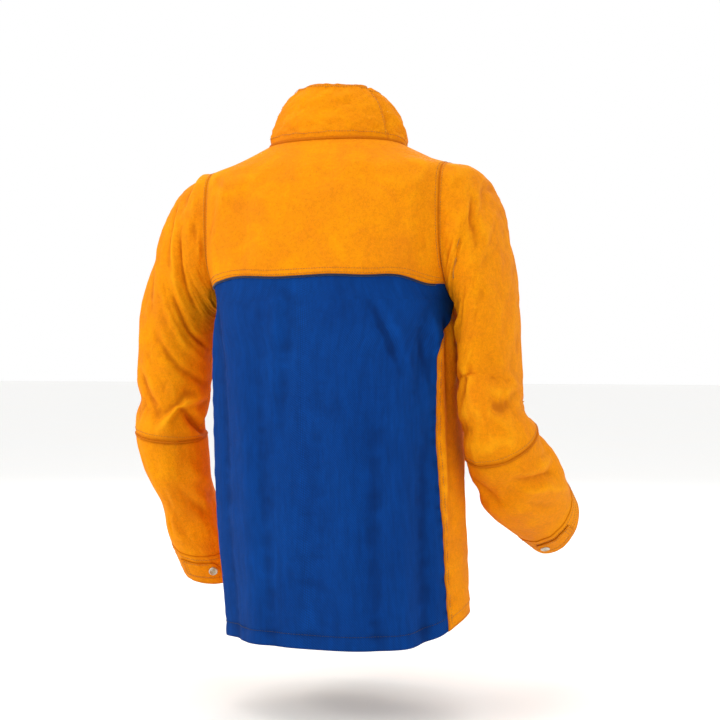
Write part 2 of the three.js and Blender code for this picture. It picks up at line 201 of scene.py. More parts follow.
sleeves = {
    "halfDepths": [(0, 92), (0.3, 86), (0.6, 74), (0.8, 65), (0.9, 60), (1, 53)],
    "elbowAt": 0.8, "cuffLength": 56,
    "left": {
        "outer": [(236, 0, -48), (273, 0, -69), (300, 1, -108), (321, 2, -165), (339, 4, -230), (348, 8,
                                                                                                 -310),
                  (349, 13, -390), (348, 14, -455), (335, -28, -575), (314, -80, -690)],
        "inner": [(200, 0, -256), (208, 0, -264), (215, 1, -278), (222, 1, -300), (227, 3, -330), (230, 5,
                                                                                                   -370),
                  (231, 10, -420), (232, 14, -470), (226, -40, -590), (210, -96, -702)],
    },
    "right": {
        "outer": [(-232, 0, -54), (-254, 0, -80), (-272, 2, -118), (-286, 4, -175), (-297, 8, -262),
                  (-301, 18, -362), (-308, 24, -402), (-326, 8, -456), (-345, -50, -502), (-341, -198, -568)],
        "inner": [(-200, 0, -256), (-206, 0, -264), (-209, 1, -278), (-210, 1, -300), (-210, 4, -335),
                  (-210, 8, -372), (-209, 17, -418), (-209, 0, -480), (-208, -66, -550), (-256, -222, -648)],
    },
}


def curveAt(points, share):  # a centripetal curve through the points, with equal shares for its segments
    p = np.vstack([2 * points[0] - points[1], points, 2 * points[-1] - points[-2]])
    at = np.clip(np.asarray(share, float), 0, 1) * (len(points) - 1)
    i = np.clip(np.floor(at).astype(int), 0, len(points) - 2)
    t = (at - i)[..., None]
    p0, p1, p2, p3 = p[i], p[i + 1], p[i + 2], p[i + 3]
    d0, d1, d2 = (((b - a) ** 2).sum(-1, keepdims=True) ** 0.25 for a, b in ((p0, p1), (p1, p2), (p2, p3)))
    m1 = ((p1 - p0) / d0 - (p2 - p0) / (d0 + d1) + (p2 - p1) / d1) * d1
    m2 = ((p2 - p1) / d1 - (p3 - p1) / (d1 + d2) + (p3 - p2) / d2) * d1
    return p1 + m1 * t + (-3 * p1 + 3 * p2 - 2 * m1 - m2) * t ** 2 + (2 * p1 - 2 * p2 + m1 + m2) * t ** 3


def armholeRing(side, w):
    middle = (armholeTopDepth + jacket["armpitDepth"]) / 2
    depth = middle - (jacket["armpitDepth"] - armholeTopDepth) / 2 * np.cos(2 * np.pi * w)
    back = armholeAngle(depth, jacket["armholeX"])
    point = bodyPoint(side * np.where(np.sin(2 * np.pi * w) >= 0, back, 180 - back), depth)
    point[..., 0] = side * (jacket["armholeX"] + 0.4)
    return point


def unit(v):
    return v / np.maximum(np.linalg.norm(v, axis=-1, keepdims=True), 1e-9)


# w goes round from the outer line, over the back, to the inner line; s runs down
def sleevePoint(name, w, s):
    side = 1 if name == "left" else -1
    w, s = np.broadcast_arrays(np.asarray(w, float) % 1, np.asarray(s, float))
    lines = [np.vstack([armholeRing(side, np.array(start)), np.array(sleeves[name][key], float)])
             for key, start in (("outer", 0.0), ("inner", 0.5))]
    outer, inner = (curveAt(line, s) for line in lines)
    centre, half = (outer + inner) / 2, (outer - inner) / 2
    ahead, behind = ((curveAt(lines[0], at) + curveAt(lines[1], at)) / 2 for at in (s + 1e-3, s - 1e-3))
    across = side * unit(np.cross(half, unit(ahead - behind))) * along(sleeves["halfDepths"], s)[..., None]
    turn = (2 * np.pi * w)[..., None]
    point = centre + half * np.cos(turn) + across * np.sin(turn)
    centre0, outer0 = (lines[0][0] + lines[1][0]) / 2, lines[0][0]
    own = centre0 + (outer0 - centre0) * np.cos(turn)
    own = own + np.array([0, sleeves["halfDepths"][0][1], 0]) * np.sin(turn)
    return point + (armholeRing(side, w) - own) * (1 - smooth(s, 0, 0.14))[..., None]


# Folds: each is a line of points, how wide it is and how far it stands out (or lies in, when negative).
# On the body a point is (degrees round from the middle of the back, millimetres down).
bodyFolds = [
    ([(24, 290), (25, 520), (26, 764)], 24, 5), ([(16, 330), (15, 560), (14, 766)], 15, -4),
    ([(10, 224), (9, 322)], 9, 2.4), ([(3, 224), (6, 402), (8, 500)], 11, -3),
    ([(-14, 320), (-15, 549), (-13, 766)], 26, 5), ([(-25, 236), (-35, 310), (-43, 370)], 10, -4),
    ([(-32, 240), (-41, 310), (-50, 372)], 10, 3), ([(-29, 420), (-27, 600), (-28, 766)], 16, -4),
    ([(-40, 390), (-40, 549), (-41, 766)], 20, 5), ([(-58, 425), (-56, 600), (-54, 766)], 20, -8),
    ([(-78, 240), (-77, 330), (-79, 410)], 11, -9), ([(-66, 262), (-67, 400)], 9, 3),
    ([(-51, 285), (-64, 392)], 11, -4), ([(-71, 400), (-72, 508), (-70, 640)], 9, 4),
    ([(47, 300), (44, 480), (46, 764)], 18, -5), ([(60, 280), (60, 460), (58, 766)], 16, 3),
    # yoke
    ([(-47, 146), (-55, 186)], 7, -3), ([(-40, 80), (-44, 192)], 13, 2.5), ([(-20, 40), (-28, 190)], 18, -2),
    ([(36, 70), (48, 196)], 13, 3), ([(22, 60), (26, 196)], 16, -2), ([(54, 120), (60, 196)], 8, -3),
    # fronts
    ([(118, 150), (124, 400), (128, 766)], 22, 5), ([(138, 200), (141, 480), (139, 766)], 18, -5),
    ([(152, 120), (155, 420), (156, 760)], 16, 3), ([(104, 300), (106, 520), (104, 766)], 16, -5),
    ([(242, 160), (238, 420), (236, 766)], 22, 4), ([(222, 210), (220, 500), (223, 766)], 18, -5),
    ([(207, 130), (206, 430), (204, 762)], 15, 3), ([(256, 310), (255, 520), (258, 766)], 16, -5),
    ([(112, 190), (132, 262)], 9, -3), ([(248, 200), (226, 270)], 9, -3),
]
# On a sleeve a point is (share of the way round from the outer line over the back, share of the way down)
sleeveFolds = {
    "left": [
        ([(0.19, 0.13), (0.25, 0.2), (0.32, 0.275), (0.4, 0.31)], 8, -6),
        ([(0.15, 0.17), (0.21, 0.24), (0.29, 0.32), (0.38, 0.37)], 11, 5),
        ([(0.28, 0.36), (0.38, 0.44), (0.48, 0.465)], 9, -7), ([(0.26, 0.42), (0.36, 0.5), (0.48, 0.54)],
                                                               11, 4),
        ([(0.24, 0.54), (0.35, 0.59), (0.51, 0.625)], 12, -6), ([(0.31, 0.77), (0.38, 0.69), (0.52, 0.64)],
                                                                9, 6),
        ([(0.39, 0.73), (0.47, 0.755), (0.56, 0.79)], 13, -11), ([(0.37, 0.828), (0.45, 0.85),
                                                                  (0.53, 0.868)], 8, 6),
        ([(0.34, 0.875), (0.43, 0.9)], 9, -5), ([(0.1, 0.62), (0.2, 0.7), (0.27, 0.78)], 12, -4),
        ([(0.05, 0.3), (0.12, 0.42), (0.2, 0.5)], 13, -4), ([(0.02, 0.4), (0.1, 0.53), (0.17, 0.6)], 12, 3),
        ([(0.9, 0.2), (0.8, 0.32), (0.68, 0.36)], 11, -5), ([(0.94, 0.34), (0.82, 0.46), (0.66, 0.5)], 12, 4),
        ([(0.92, 0.5), (0.8, 0.6), (0.64, 0.62)], 11, -5), ([(0.95, 0.7), (0.82, 0.72), (0.66, 0.7)], 12, 4),
        ([(0.9, 0.77), (0.76, 0.765), (0.62, 0.78)], 10, -7), ([(0.9, 0.85), (0.75, 0.87), (0.6, 0.86)], 9,
                                                               4),
    ],
    "right": [
        ([(0.13, 0.14), (0.155, 0.24), (0.17, 0.33)], 8, -5), ([(0.09, 0.15), (0.11, 0.27), (0.13, 0.36)],
                                                               11, 3),
        ([(0.24, 0.13), (0.31, 0.075), (0.37, 0.035)], 7, -4), ([(0.3, 0.16), (0.38, 0.1), (0.44, 0.06)], 8,
                                                                3),
        ([(0.36, 0.38), (0.43, 0.46)], 9, 5), ([(0.28, 0.34), (0.36, 0.48), (0.42, 0.55)], 10, -4),
        ([(0.02, 0.69), (0.12, 0.705), (0.24, 0.69)], 12, -5), ([(0.24, 0.56), (0.32, 0.66), (0.4, 0.7)],
                                                                12, -5),
        ([(0.3, 0.78), (0.2, 0.765), (0.1, 0.77)], 10, 4), ([(0.2, 0.838), (0.1, 0.872), (0.02, 0.915)], 8,
                                                            -7),
        ([(0.22, 0.86), (0.12, 0.9), (0.03, 0.953)], 7, 6), ([(0.22, 0.9), (0.13, 0.938)], 7, -4),
        ([(0.12, 0.82), (0.05, 0.86), (0.98, 0.89)], 8, 5), ([(0.42, 0.83), (0.34, 0.87), (0.3, 0.93)], 10,
                                                             -4),
        ([(0.9, 0.2), (0.8, 0.32), (0.68, 0.36)], 11, -5), ([(0.94, 0.36), (0.82, 0.47), (0.67, 0.5)], 12, 4),
        ([(0.9, 0.52), (0.78, 0.6), (0.64, 0.6)], 11, -5), ([(0.92, 0.76), (0.78, 0.74), (0.62, 0.77)], 10,
                                                            -6),
        ([(0.9, 0.83), (0.76, 0.85), (0.62, 0.84)], 9, 4),
    ],
}


def foldHeight(across, down, folds, roundTrip, scales):
    # how far the folds move the surface; the lines are measured in millimetres with the two scales
    total = np.zeros(np.broadcast(across, down).shape)
    for line, width, rise in folds:
        nearest, place = np.full(total.shape, 1e6), np.zeros(total.shape)
        for k, (start, end) in enumerate(zip(line, line[1:])):
            toEnd = ((end[0] - start[0] + roundTrip / 2) % roundTrip - roundTrip / 2) * scales[0]
            toEndDown = (end[1] - start[1]) * scales[1]
            off = ((across - start[0] + roundTrip / 2) % roundTrip - roundTrip / 2) * scales[0]
            offDown = (down - start[1]) * scales[1]
            t = np.clip((off * toEnd + offDown * toEndDown) / (toEnd ** 2 + toEndDown ** 2), 0, 1)
            gap = np.hypot(off - t * toEnd, offDown - t * toEndDown)
            closer = gap < nearest
            nearest = np.where(closer, gap, nearest)
            place = np.where(closer, (k + t) / (len(line) - 1), place)
        fade = np.sin(np.pi * np.clip(place, 0.03, 0.97)) ** 0.6
        fade = np.where((place > 0.5) & (line[-1][1] > 700), 1, fade)  # it runs out of the hem
        total += rise * np.exp(-(nearest / width) ** 2) * fade
    return total


def cubicWeights(t):
    return (-t / 2 + t ** 2 - t ** 3 / 2, 1 - 2.5 * t ** 2 + 1.5 * t ** 3,
            t / 2 + 2 * t ** 2 - 1.5 * t ** 3, -t ** 2 / 2 + t ** 3 / 2)


def sampled(field, column, row, loop=True):  # a smooth value of a grid [row, column, ...] between its points
    rows, columns = field.shape[:2]
    column, row = np.broadcast_arrays(np.asarray(column, float), np.asarray(row, float))
    row = np.clip(row, 0, rows - 1)
    c, r = np.floor(column).astype(int), np.minimum(np.floor(row).astype(int), rows - 2)
    total = 0
    for j, rowWeight in enumerate(cubicWeights(row - r)):
        for i, columnWeight in enumerate(cubicWeights(column - c)):
            place = (c + i - 1) % columns if loop else np.clip(c + i - 1, 0, columns - 1)
            value = field[np.clip(r + j - 1, 0, rows - 1), place]
            total = total + value * (rowWeight * columnWeight).reshape(rowWeight.shape + (1,) * (field.ndim
                                                                                                 - 2))
    return total


dice = np.random.default_rng(31)
ripple = {"field": dice.normal(size=(40, 26)), "fineField": dice.normal(size=(96, 72))}


def unevenness(roundShare, downShare):  # slow waves in hide that is never flat, from -1 to 1 or so
    slow = sampled(ripple["field"], roundShare * 26, downShare * 39)
    return 0.6 * slow + 0.4 * sampled(ripple["fineField"], roundShare * 72, downShare * 95)


def gridFaces(rows, columns, loop):
    across = columns if loop else columns - 1
    j, i = np.meshgrid(np.arange(rows - 1), np.arange(across), indexing="ij")
    right = (i + 1) % columns
    return np.stack([j * columns + i, j * columns + right, (j + 1) * columns + right, (j + 1) * columns + i],
                    -1).reshape(-1, 4)


# The cloth takes a little more room than its seams give it, so it buckles into its own small wrinkles
settling = {
    "body": {"spare": 0.014, "bending": 6, "frames": 16, "most": 7, "gravity": 0.5},
    "sleeve": {"spare": 0.04, "bending": 1.6, "frames": 18, "most": 8, "gravity": 0.35},
}


def settled(points, hold, spec, name):
    # how far each point of a closed cloth grid moves when it settles, in millimetres
    rows, columns = points.shape[:2]
    mesh = bpy.data.meshes.new(name)
    mesh.from_pydata((points.reshape(-1, 3) * mm).tolist(), [], gridFaces(rows, columns, True).tolist())
    cloth = bpy.data.objects.new(name, mesh)
    bpy.context.scene.collection.objects.link(cloth)
    held = cloth.vertex_groups.new(name="held")
    levels = np.round(hold.reshape(-1) * 10).astype(int)
    for level in range(1, 11):
        held.add(np.flatnonzero(levels == level).tolist(), level / 10, "REPLACE")
    modifier = cloth.modifiers.new("Cloth", "CLOTH")
    modifier.settings.vertex_group_mass = "held"
    modifier.settings.quality = 6
    modifier.settings.mass = 0.02
    modifier.settings.tension_stiffness = modifier.settings.compression_stiffness = 25
    modifier.settings.bending_stiffness = spec["bending"]
    modifier.settings.shrink_min = -spec["spare"]
    modifier.settings.air_damping = 2
    modifier.settings.effector_weights.gravity = spec["gravity"]
    modifier.collision_settings.use_collision = False
    modifier.collision_settings.use_self_collision = False
    for at in range(1, spec["frames"] + 1):
        bpy.context.scene.frame_set(at)
    result = cloth.evaluated_get(bpy.context.evaluated_depsgraph_get())
    moved = np.empty(rows * columns * 3, np.float32)
    result.data.vertices.foreach_get("co", moved)
    moved = moved.reshape(rows, columns, 3) / mm - points
    bpy.data.objects.remove(cloth)
    bpy.data.meshes.remove(mesh)
    bpy.context.scene.frame_set(1)
    far = np.maximum(np.linalg.norm(moved, axis=-1, keepdims=True), 1e-6)
    moved = moved / far * spec["most"] * np.tanh(far / spec["most"])
    around = (np.roll(moved, 1, 1) + np.roll(moved, -1, 1) + 2 * moved) / 4
    moved = around.copy()
    moved[1:-1] = (around[:-2] + 2 * around[1:-1] + around[2:]) / 4
    print("settled", name, "by at most", round(float(far.max()), 1), "mm")
    return moved * (1 - hold)[..., None]


# The body's surface with its folds: a field of moves over a grid of the whole body, then read anywhere
bodyGrid = {"columns": 176, "rows": 112, "degreeWidth": 3.15}


def bodyNormal(angle, depth):
    below, above = bodyPoint(angle, np.minimum(depth + 1, 768)), bodyPoint(angle, np.maximum(depth - 1, 0))
    return unit(np.cross(bodyPoint(angle + 0.4, depth) - bodyPoint(angle - 0.4, depth), below - above))


def atArmhole(point):  # 1 on the armhole and beyond it, 0 away from it
    return smooth(np.abs(point[..., 0]), 168, 191) * (1 - smooth(-point[..., 2], 262, 300))


def makeBodyField():
    angle, depth = np.meshgrid(np.arange(bodyGrid["columns"]) * 360 / bodyGrid["columns"],
                               np.linspace(0, jacket["backLength"], bodyGrid["rows"]))
    base = bodyPoint(angle, depth)
    rise = foldHeight(angle, depth, bodyFolds, 360, (bodyGrid["degreeWidth"], 1))
    rise = rise + 0.7 * unevenness(angle / 360, depth / 768)
    rise = rise + 3 * np.sin(np.radians(angle * 7)) * smooth(depth, 500, 768)
    loose = (1 - atArmhole(base)) * smooth(depth, 0, 46)
    snapped = 1 - 0.8 * np.exp(-((angle - 180) / 9) ** 2)
    normal = bodyNormal(angle, depth)
    folded = base + normal * (rise * loose * snapped)[..., None]
    hold = np.clip(1 - loose * smooth(depth, 4, 60), 0, 1)
    hold = np.maximum(hold, 0.7 * np.exp(-((angle - 180) / 8) ** 2))
    return folded - base + settled(folded, hold, settling["body"], "settlingBody")


bodyField = makeBodyField()
print("body settled")


def foldedBody(angle, depth):
    move = sampled(bodyField, np.asarray(angle, float) % 360 / 360 * bodyGrid["columns"],
                   np.asarray(depth, float) / jacket["backLength"] * (bodyGrid["rows"] - 1))
    return bodyPoint(angle, depth) + move


def lifted(surface, a, b, stepA, stepB, lift, lastB, outward):
    # a point on a surface, and its normal there
    here = surface(a, b)
    acrossWay = surface(a + stepA, b) - surface(a - stepA, b)
    downWay = surface(a, np.minimum(b + stepB, lastB)) - surface(a, np.maximum(b - stepB, 0))
    normal = unit(np.cross(acrossWay, downWay)) * outward
    return here + normal * np.asarray(lift, float)[..., None], normal


def onBody(angle, depth, lift=0.0):
    angle, depth, lift = np.broadcast_arrays(angle, depth, lift)
    return lifted(foldedBody, angle, depth, 0.5, 2.0, lift, jacket["backLength"], 1)


# The sleeves' surfaces with their folds
sleeveGrid = {"columns": 64, "rows": 96, "girth": 470, "length": 720}


def makeSleeveField(name):
    side = 1 if name == "left" else -1
    w, s = np.meshgrid(np.arange(sleeveGrid["columns"]) / sleeveGrid["columns"],
                       np.linspace(0, 1, sleeveGrid["rows"]))
    base = sleevePoint(name, w, s)
    ahead, behind = sleevePoint(name, w + 0.004, s), sleevePoint(name, w - 0.004, s)
    down = sleevePoint(name, w, np.minimum(s + 0.004, 1)) - sleevePoint(name, w, np.maximum(s - 0.004, 0))
    normal = unit(np.cross(ahead - behind, down)) * -side
    rise = foldHeight(w, s, sleeveFolds[name], 1, (sleeveGrid["girth"], sleeveGrid["length"]))
    rise = rise + 0.9 * unevenness(w + 0.37 * side, s * 0.8)
    rise = rise + 2.0 * np.exp(-((s - 0.045) / 0.03) ** 2) - 2.5 * smooth(s, 0.1, 0.25)  # eased in
    loose = smooth(s, 0, 0.05) * (1 - 0.6 * smooth(s, 0.93, 1)) * (1 - 0.5 * np.exp(-((s - 0.8) / 0.02) ** 2))
    folded = base + normal * (rise * loose)[..., None]
    hold = 1 - smooth(s, 0.0, 0.07) * (1 - 0.6 * smooth(s, 0.9, 1)) * (1 - 0.35 * np.exp(-((s - 0.8) / 0.03)
                                                                                         ** 2))
    return folded - base + settled(folded, np.clip(hold, 0.05, 1), settling["sleeve"], name
                                   + "SettlingSleeve")


sleeveFields = {name: makeSleeveField(name) for name in ("left", "right")}
print("sleeves settled")


def onSleeve(name, w, s, lift=0.0):
    w, s, lift = np.broadcast_arrays(w, s, lift)

    def surface(a, b):
        move = sampled(sleeveFields[name], np.asarray(a, float) % 1 * sleeveGrid["columns"],
                       np.asarray(b, float) * (sleeveGrid["rows"] - 1))
        return sleevePoint(name, a, b) + move

    return lifted(surface, w, s, 0.004, 0.003, lift, 1, -1 if name == "left" else 1)


# Materials. A made colour is sRGB hex; pattern sizes are real ones in millimetres.
def addNode(material, kind, inputs=(), **settings):
    node = material.node_tree.nodes.new("ShaderNode" + kind)
    for name, value in settings.items():
        setattr(node, name, value)
    for socket, value in dict(inputs).items():
        if isinstance(value, bpy.types.NodeSocket):
            material.node_tree.links.new(value, node.inputs[socket])
        else:
            node.inputs[socket].default_value = value
    return node


def startMaterial(name):
    material = bpy.data.materials.new(name)
    material.use_nodes = True
    material.node_tree.nodes.clear()
    return material


def finishMaterial(material, inputs):
    shader = addNode(material, "BsdfPrincipled", inputs)
    addNode(material, "OutputMaterial", {"Surface": shader.outputs["BSDF"]})
    return material


def perMetre(size):  # a noise scale whose blotches are about this many millimetres across
    return 1000 / size


def colourRamp(material, factor, stops):
    ramp = addNode(material, "ValToRGB", {"Fac": factor})
    while len(ramp.color_ramp.elements) < len(stops):
        ramp.color_ramp.elements.new(0.5)
    for element, (place, colour) in zip(ramp.color_ramp.elements, stops):
        element.position, element.color = place, linear(colour)
    return ramp.outputs["Color"]


def mixed(material, factor, first, second, blend="MIX"):
    node = addNode(material, "Mix", {"Factor": factor}, data_type="RGBA", blend_type=blend)
    for socket, value in ((6, first), (7, second)):
        if isinstance(value, bpy.types.NodeSocket):
            material.node_tree.links.new(value, node.inputs[socket])
        else:
            node.inputs[socket].default_value = value
    return node.outputs[2]


# Split cowhide, drum dyed golden and napped by buffing: matt, fibrous, with a slightly oily bloom in patches,
# with painted shade in its creases and a painted highlight on its ridges that also stands for rubbed wear
# The crease colour is painted shade in the folds' creases and also darkens the edges of each piece; the
# rubbed colour is a painted highlight on the ridges that also stands for their paler rubbed wear
suede = {
    "outside": {"deep": "ea8600", "mid": "f49200", "light": "fb9e02", "creaseShadeAndEdge": "aa5200", "rubbedAndHighlit": "ffae12",
                "nap": 1.7, "grain": 5, "blotch": 55, "bump": 0.55},
    "inside": {"deep": "a8692a", "mid": "c98a42", "light": "dba45e", "creaseShadeAndEdge": "7c4a1c", "rubbedAndHighlit": "e2b272",
               "nap": 2.2, "grain": 6, "blotch": 40, "bump": 0.7},
}


def makeSuede(name, spec):
    material = startMaterial(name)
    place = addNode(material, "TexCoord").outputs["Object"]
    blotch = addNode(material, "TexNoise", {"Vector": place, "Scale": perMetre(spec["blotch"]), "Detail": 5.0,
                                            "Roughness": 0.62, "Distortion": 0.6})
    grain = addNode(material, "TexNoise", {"Vector": place, "Scale": perMetre(spec["grain"]), "Detail": 4.0,
                                           "Roughness": 0.6})
    nap = addNode(material, "TexNoise", {"Vector": place, "Scale": perMetre(spec["nap"]), "Detail": 3.0,
                                         "Roughness": 0.7})
    pores = addNode(material, "TexVoronoi", {"Vector": place, "Scale": perMetre(spec["grain"] * 0.8)},
                    feature="DISTANCE_TO_EDGE")
    base = colourRamp(material, blotch.outputs["Fac"],
                      ((0.28, spec["deep"]), (0.52, spec["mid"]), (0.78, spec["light"])))
    fibres = colourRamp(material, nap.outputs["Fac"], ((0.3, "9c9c9c"), (0.7, "ffffff")))
    base = mixed(material, 0.3, base, fibres, "MULTIPLY")
    mottled = colourRamp(material, grain.outputs["Fac"], ((0.3, "b4b4b4"), (0.62, "ffffff")))
    base = mixed(material, 0.25, base, mottled, "MULTIPLY")
    # Painted shade and highlight: from the curvature of the folds, the creases darken and the ridges turn
    # paler
    foldShading = addNode(material, "Attribute", attribute_name="foldShading").outputs["Fac"]
    creaseShadeMask = addNode(material, "MapRange", {"Value": foldShading, "From Min": 0.46, "From Max": 0.2,
                                              "To Min": 0.0, "To Max": 0.6})
    ridgeHighlightMask = addNode(material, "MapRange", {"Value": foldShading, "From Min": 0.56, "From Max": 0.85,
                                             "To Min": 0.0, "To Max": 0.5})
    base = mixed(material, creaseShadeMask.outputs["Result"], base, linear(spec["creaseShadeAndEdge"]))
    base = mixed(material, ridgeHighlightMask.outputs["Result"], base, linear(spec["rubbedAndHighlit"]))
    rim = addNode(material, "Attribute", attribute_name="rim").outputs["Fac"]
    rimmed = addNode(material, "Math", {0: rim, 1: 0.5}, operation="MULTIPLY")
    base = mixed(material, rimmed.outputs[0], base, linear(spec["creaseShadeAndEdge"]))
    height = addNode(material, "Math", {0: nap.outputs["Fac"], 1: grain.outputs["Fac"]}, operation="ADD")
    cracked = addNode(material, "MapRange", {"Value": pores.outputs["Distance"], "From Min": 0.0,
                                             "From Max": 0.16, "To Min": -0.25, "To Max": 0.0})
    height = addNode(material, "Math", {0: height.outputs[0], 1: cracked.outputs["Result"]}, operation="ADD")
    bump = addNode(material, "Bump", {"Height": height.outputs[0], "Strength": spec["bump"],
                                      "Distance": 0.0012})
    roughness = addNode(material, "MapRange", {"Value": blotch.outputs["Fac"], "From Min": 0.3,
                                               "From Max": 0.7,
                                               "To Min": 0.72, "To Max": 0.92})
    return finishMaterial(material, {
        "Base Color": base, "Roughness": roughness.outputs["Result"], "Normal": bump.outputs["Normal"],
        "Specular IOR Level": 0.1, "Sheen Weight": 0.06, "Sheen Roughness": 0.4,
        "Sheen Tint": linear("ffa030")})


# Flame-resistant cotton drill, vat dyed royal blue, woven as a twill: diagonal ribs, slubby yarn, soft dull
# sheen. The ribs are drawn at 2.4 mm, twice their real size, so that they show.
# The darkest blue is painted shade for the folds' creases; the light blue is both the cloth's paler tone and
# a painted highlight on the folds' ridges
drill = {"creaseShadeBlue": "001c4c", "mid": "003d8c", "light": "02479c", "rib": 2.4, "yarn": 1.2, "fade": 90, "slub": 9}


def makeDrill(name, spec):
    material = startMaterial(name)
    coordinates = addNode(material, "TexCoord")
    flat = coordinates.outputs["UV"]
    ribs = addNode(material, "TexWave", {"Vector": flat, "Scale": 628 / spec["rib"] / 1.41, "Distortion": 0.8,
                                         "Detail": 1.0, "Detail Scale": 2.0},
                   wave_type="BANDS", bands_direction="DIAGONAL")
    yarn = addNode(material, "TexWave", {"Vector": flat, "Scale": 314 / spec["yarn"], "Distortion": 1.2,
                                         "Detail": 1.0, "Detail Scale": 3.0},
                   wave_type="BANDS", bands_direction="X")
    stretched = addNode(material, "Mapping", {"Vector": flat, "Scale": (1.0, 0.16, 1.0)})
    slub = addNode(material, "TexNoise", {"Vector": stretched.outputs["Vector"],
                                          "Scale": perMetre(spec["slub"]),
                                          "Detail": 5.0, "Roughness": 0.65})
    fade = addNode(material, "TexNoise", {"Vector": coordinates.outputs["Object"],
                                          "Scale": perMetre(spec["fade"]), "Detail": 4.0, "Roughness": 0.6})
    base = colourRamp(material, fade.outputs["Fac"], ((0.3, spec["mid"]), (0.75, spec["light"])))
    woven = addNode(material, "Math", {0: ribs.outputs["Fac"], 1: yarn.outputs["Fac"]}, operation="MULTIPLY")
    ribShade = colourRamp(material, woven.outputs[0], ((0.0, "a2a2a2"), (0.55, "ffffff")))
    base = mixed(material, 0.6, base, ribShade, "MULTIPLY")
    slubShade = colourRamp(material, slub.outputs["Fac"], ((0.3, "b8b8b8"), (0.66, "ffffff")))
    base = mixed(material, 0.5, base, slubShade, "MULTIPLY")
    # Painted shade in the folds' creases and a painted highlight on their ridges
    foldShading = addNode(material, "Attribute", attribute_name="foldShading").outputs["Fac"]
    creaseShadeMask = addNode(material, "MapRange", {"Value": foldShading, "From Min": 0.47, "From Max": 0.25,
                                              "To Min": 0.0, "To Max": 0.6})
    base = mixed(material, creaseShadeMask.outputs["Result"], base, linear(spec["creaseShadeBlue"]))
    ridgeHighlightMask = addNode(material, "MapRange", {"Value": foldShading, "From Min": 0.58, "From Max": 0.9,
                                             "To Min": 0.0, "To Max": 0.45})
    base = mixed(material, ridgeHighlightMask.outputs["Result"], base, linear(spec["light"]))
    height = addNode(material, "Math", {0: woven.outputs[0], 1: slub.outputs["Fac"]}, operation="ADD")
    bump = addNode(material, "Bump", {"Height": height.outputs[0], "Strength": 0.5, "Distance": 0.0006})
    return finishMaterial(material, {
        "Base Color": base, "Roughness": 0.86, "Normal": bump.outputs["Normal"], "Specular IOR Level": 0.1,
        "Sheen Weight": 0.04, "Sheen Roughness": 0.5, "Sheen Tint": linear("3f6fd0")})


# Spun aramid sewing thread, and a dark navy cord along the yoke's edge: twisted plies, matt, with the fuzz of
# spun yarn
threads = {
    "seamThread": {"colour": "cf8216", "shade": "94580a", "ply": 0.9},
    "darkThread": {"colour": "2b2d3c", "shade": "10121c", "ply": 0.9},
    "navyPiping": {"colour": "0b2048", "shade": "040c20", "ply": 1.6},
}


def makeThread(name, spec):
    material = startMaterial(name)
    place = addNode(material, "TexCoord").outputs["Object"]
    plies = addNode(material, "TexWave", {"Vector": place, "Scale": 628 / spec["ply"], "Distortion": 2.0},
                    wave_type="BANDS", bands_direction="DIAGONAL")
    fuzz = addNode(material, "TexNoise", {"Vector": place, "Scale": perMetre(0.8), "Detail": 3.0})
    base = colourRamp(material, plies.outputs["Fac"], ((0.1, spec["shade"]), (0.7, spec["colour"])))
    base = mixed(material, 0.3, base, colourRamp(material, fuzz.outputs["Fac"], ((0.3, "909090"),
                                                                                 (0.7, "ffffff"))),
                 "MULTIPLY")
    bump = addNode(material, "Bump", {"Height": plies.outputs["Fac"], "Strength": 0.5, "Distance": 0.0002})
    return finishMaterial(material, {"Base Color": base, "Roughness": 0.8, "Normal": bump.outputs["Normal"],
                                     "Sheen Weight": 0.2, "Specular IOR Level": 0.3})


# Brass snap parts, pressed and nickel plated: warm grey mirror softened by handling, with fine scratches
plating = {"clean": "c9c6bd", "worn": "a08a5e", "scratch": 0.5, "smear": 5}


def makePlating(name, spec):
    material = startMaterial(name)
    place = addNode(material, "TexCoord").outputs["Object"]
    smear = addNode(material, "TexNoise", {"Vector": place, "Scale": perMetre(spec["smear"]), "Detail": 5.0})
    scratch = addNode(material, "TexNoise", {"Vector": place, "Scale": perMetre(spec["scratch"]),
                                             "Detail": 2.0,
                                             "Distortion": 1.5})
    base = colourRamp(material, smear.outputs["Fac"], ((0.36, spec["clean"]), (0.72, spec["worn"])))
    roughness = addNode(material, "MapRange", {"Value": smear.outputs["Fac"], "From Min": 0.3,
                                               "From Max": 0.7,
                                               "To Min": 0.2, "To Max": 0.42})
    bump = addNode(material, "Bump", {"Height": scratch.outputs["Fac"], "Strength": 0.08, "Distance": 0.0002})
    return finishMaterial(material, {"Base Color": base, "Metallic": 1.0, "Normal": bump.outputs["Normal"],
                                     "Roughness": roughness.outputs["Result"]})


# Woven polyester label tape: satin, fine ribs across, off-white
tape = {"light": "efece2", "shade": "cfc9b8", "rib": 1.2}


def makeTape(name, spec):
    material = startMaterial(name)
    flat = addNode(material, "TexCoord").outputs["UV"]
    ribs = addNode(material, "TexWave", {"Vector": flat, "Scale": 314 / spec["rib"], "Distortion": 0.4},
                   wave_type="BANDS", bands_direction="Y")
    base = colourRamp(material, ribs.outputs["Fac"], ((0.1, spec["shade"]), (0.7, spec["light"])))
    bump = addNode(material, "Bump", {"Height": ribs.outputs["Fac"], "Strength": 0.4, "Distance": 0.0003})
    return finishMaterial(material, {"Base Color": base, "Roughness": 0.55, "Normal": bump.outputs["Normal"],
                                     "Sheen Weight": 0.2})


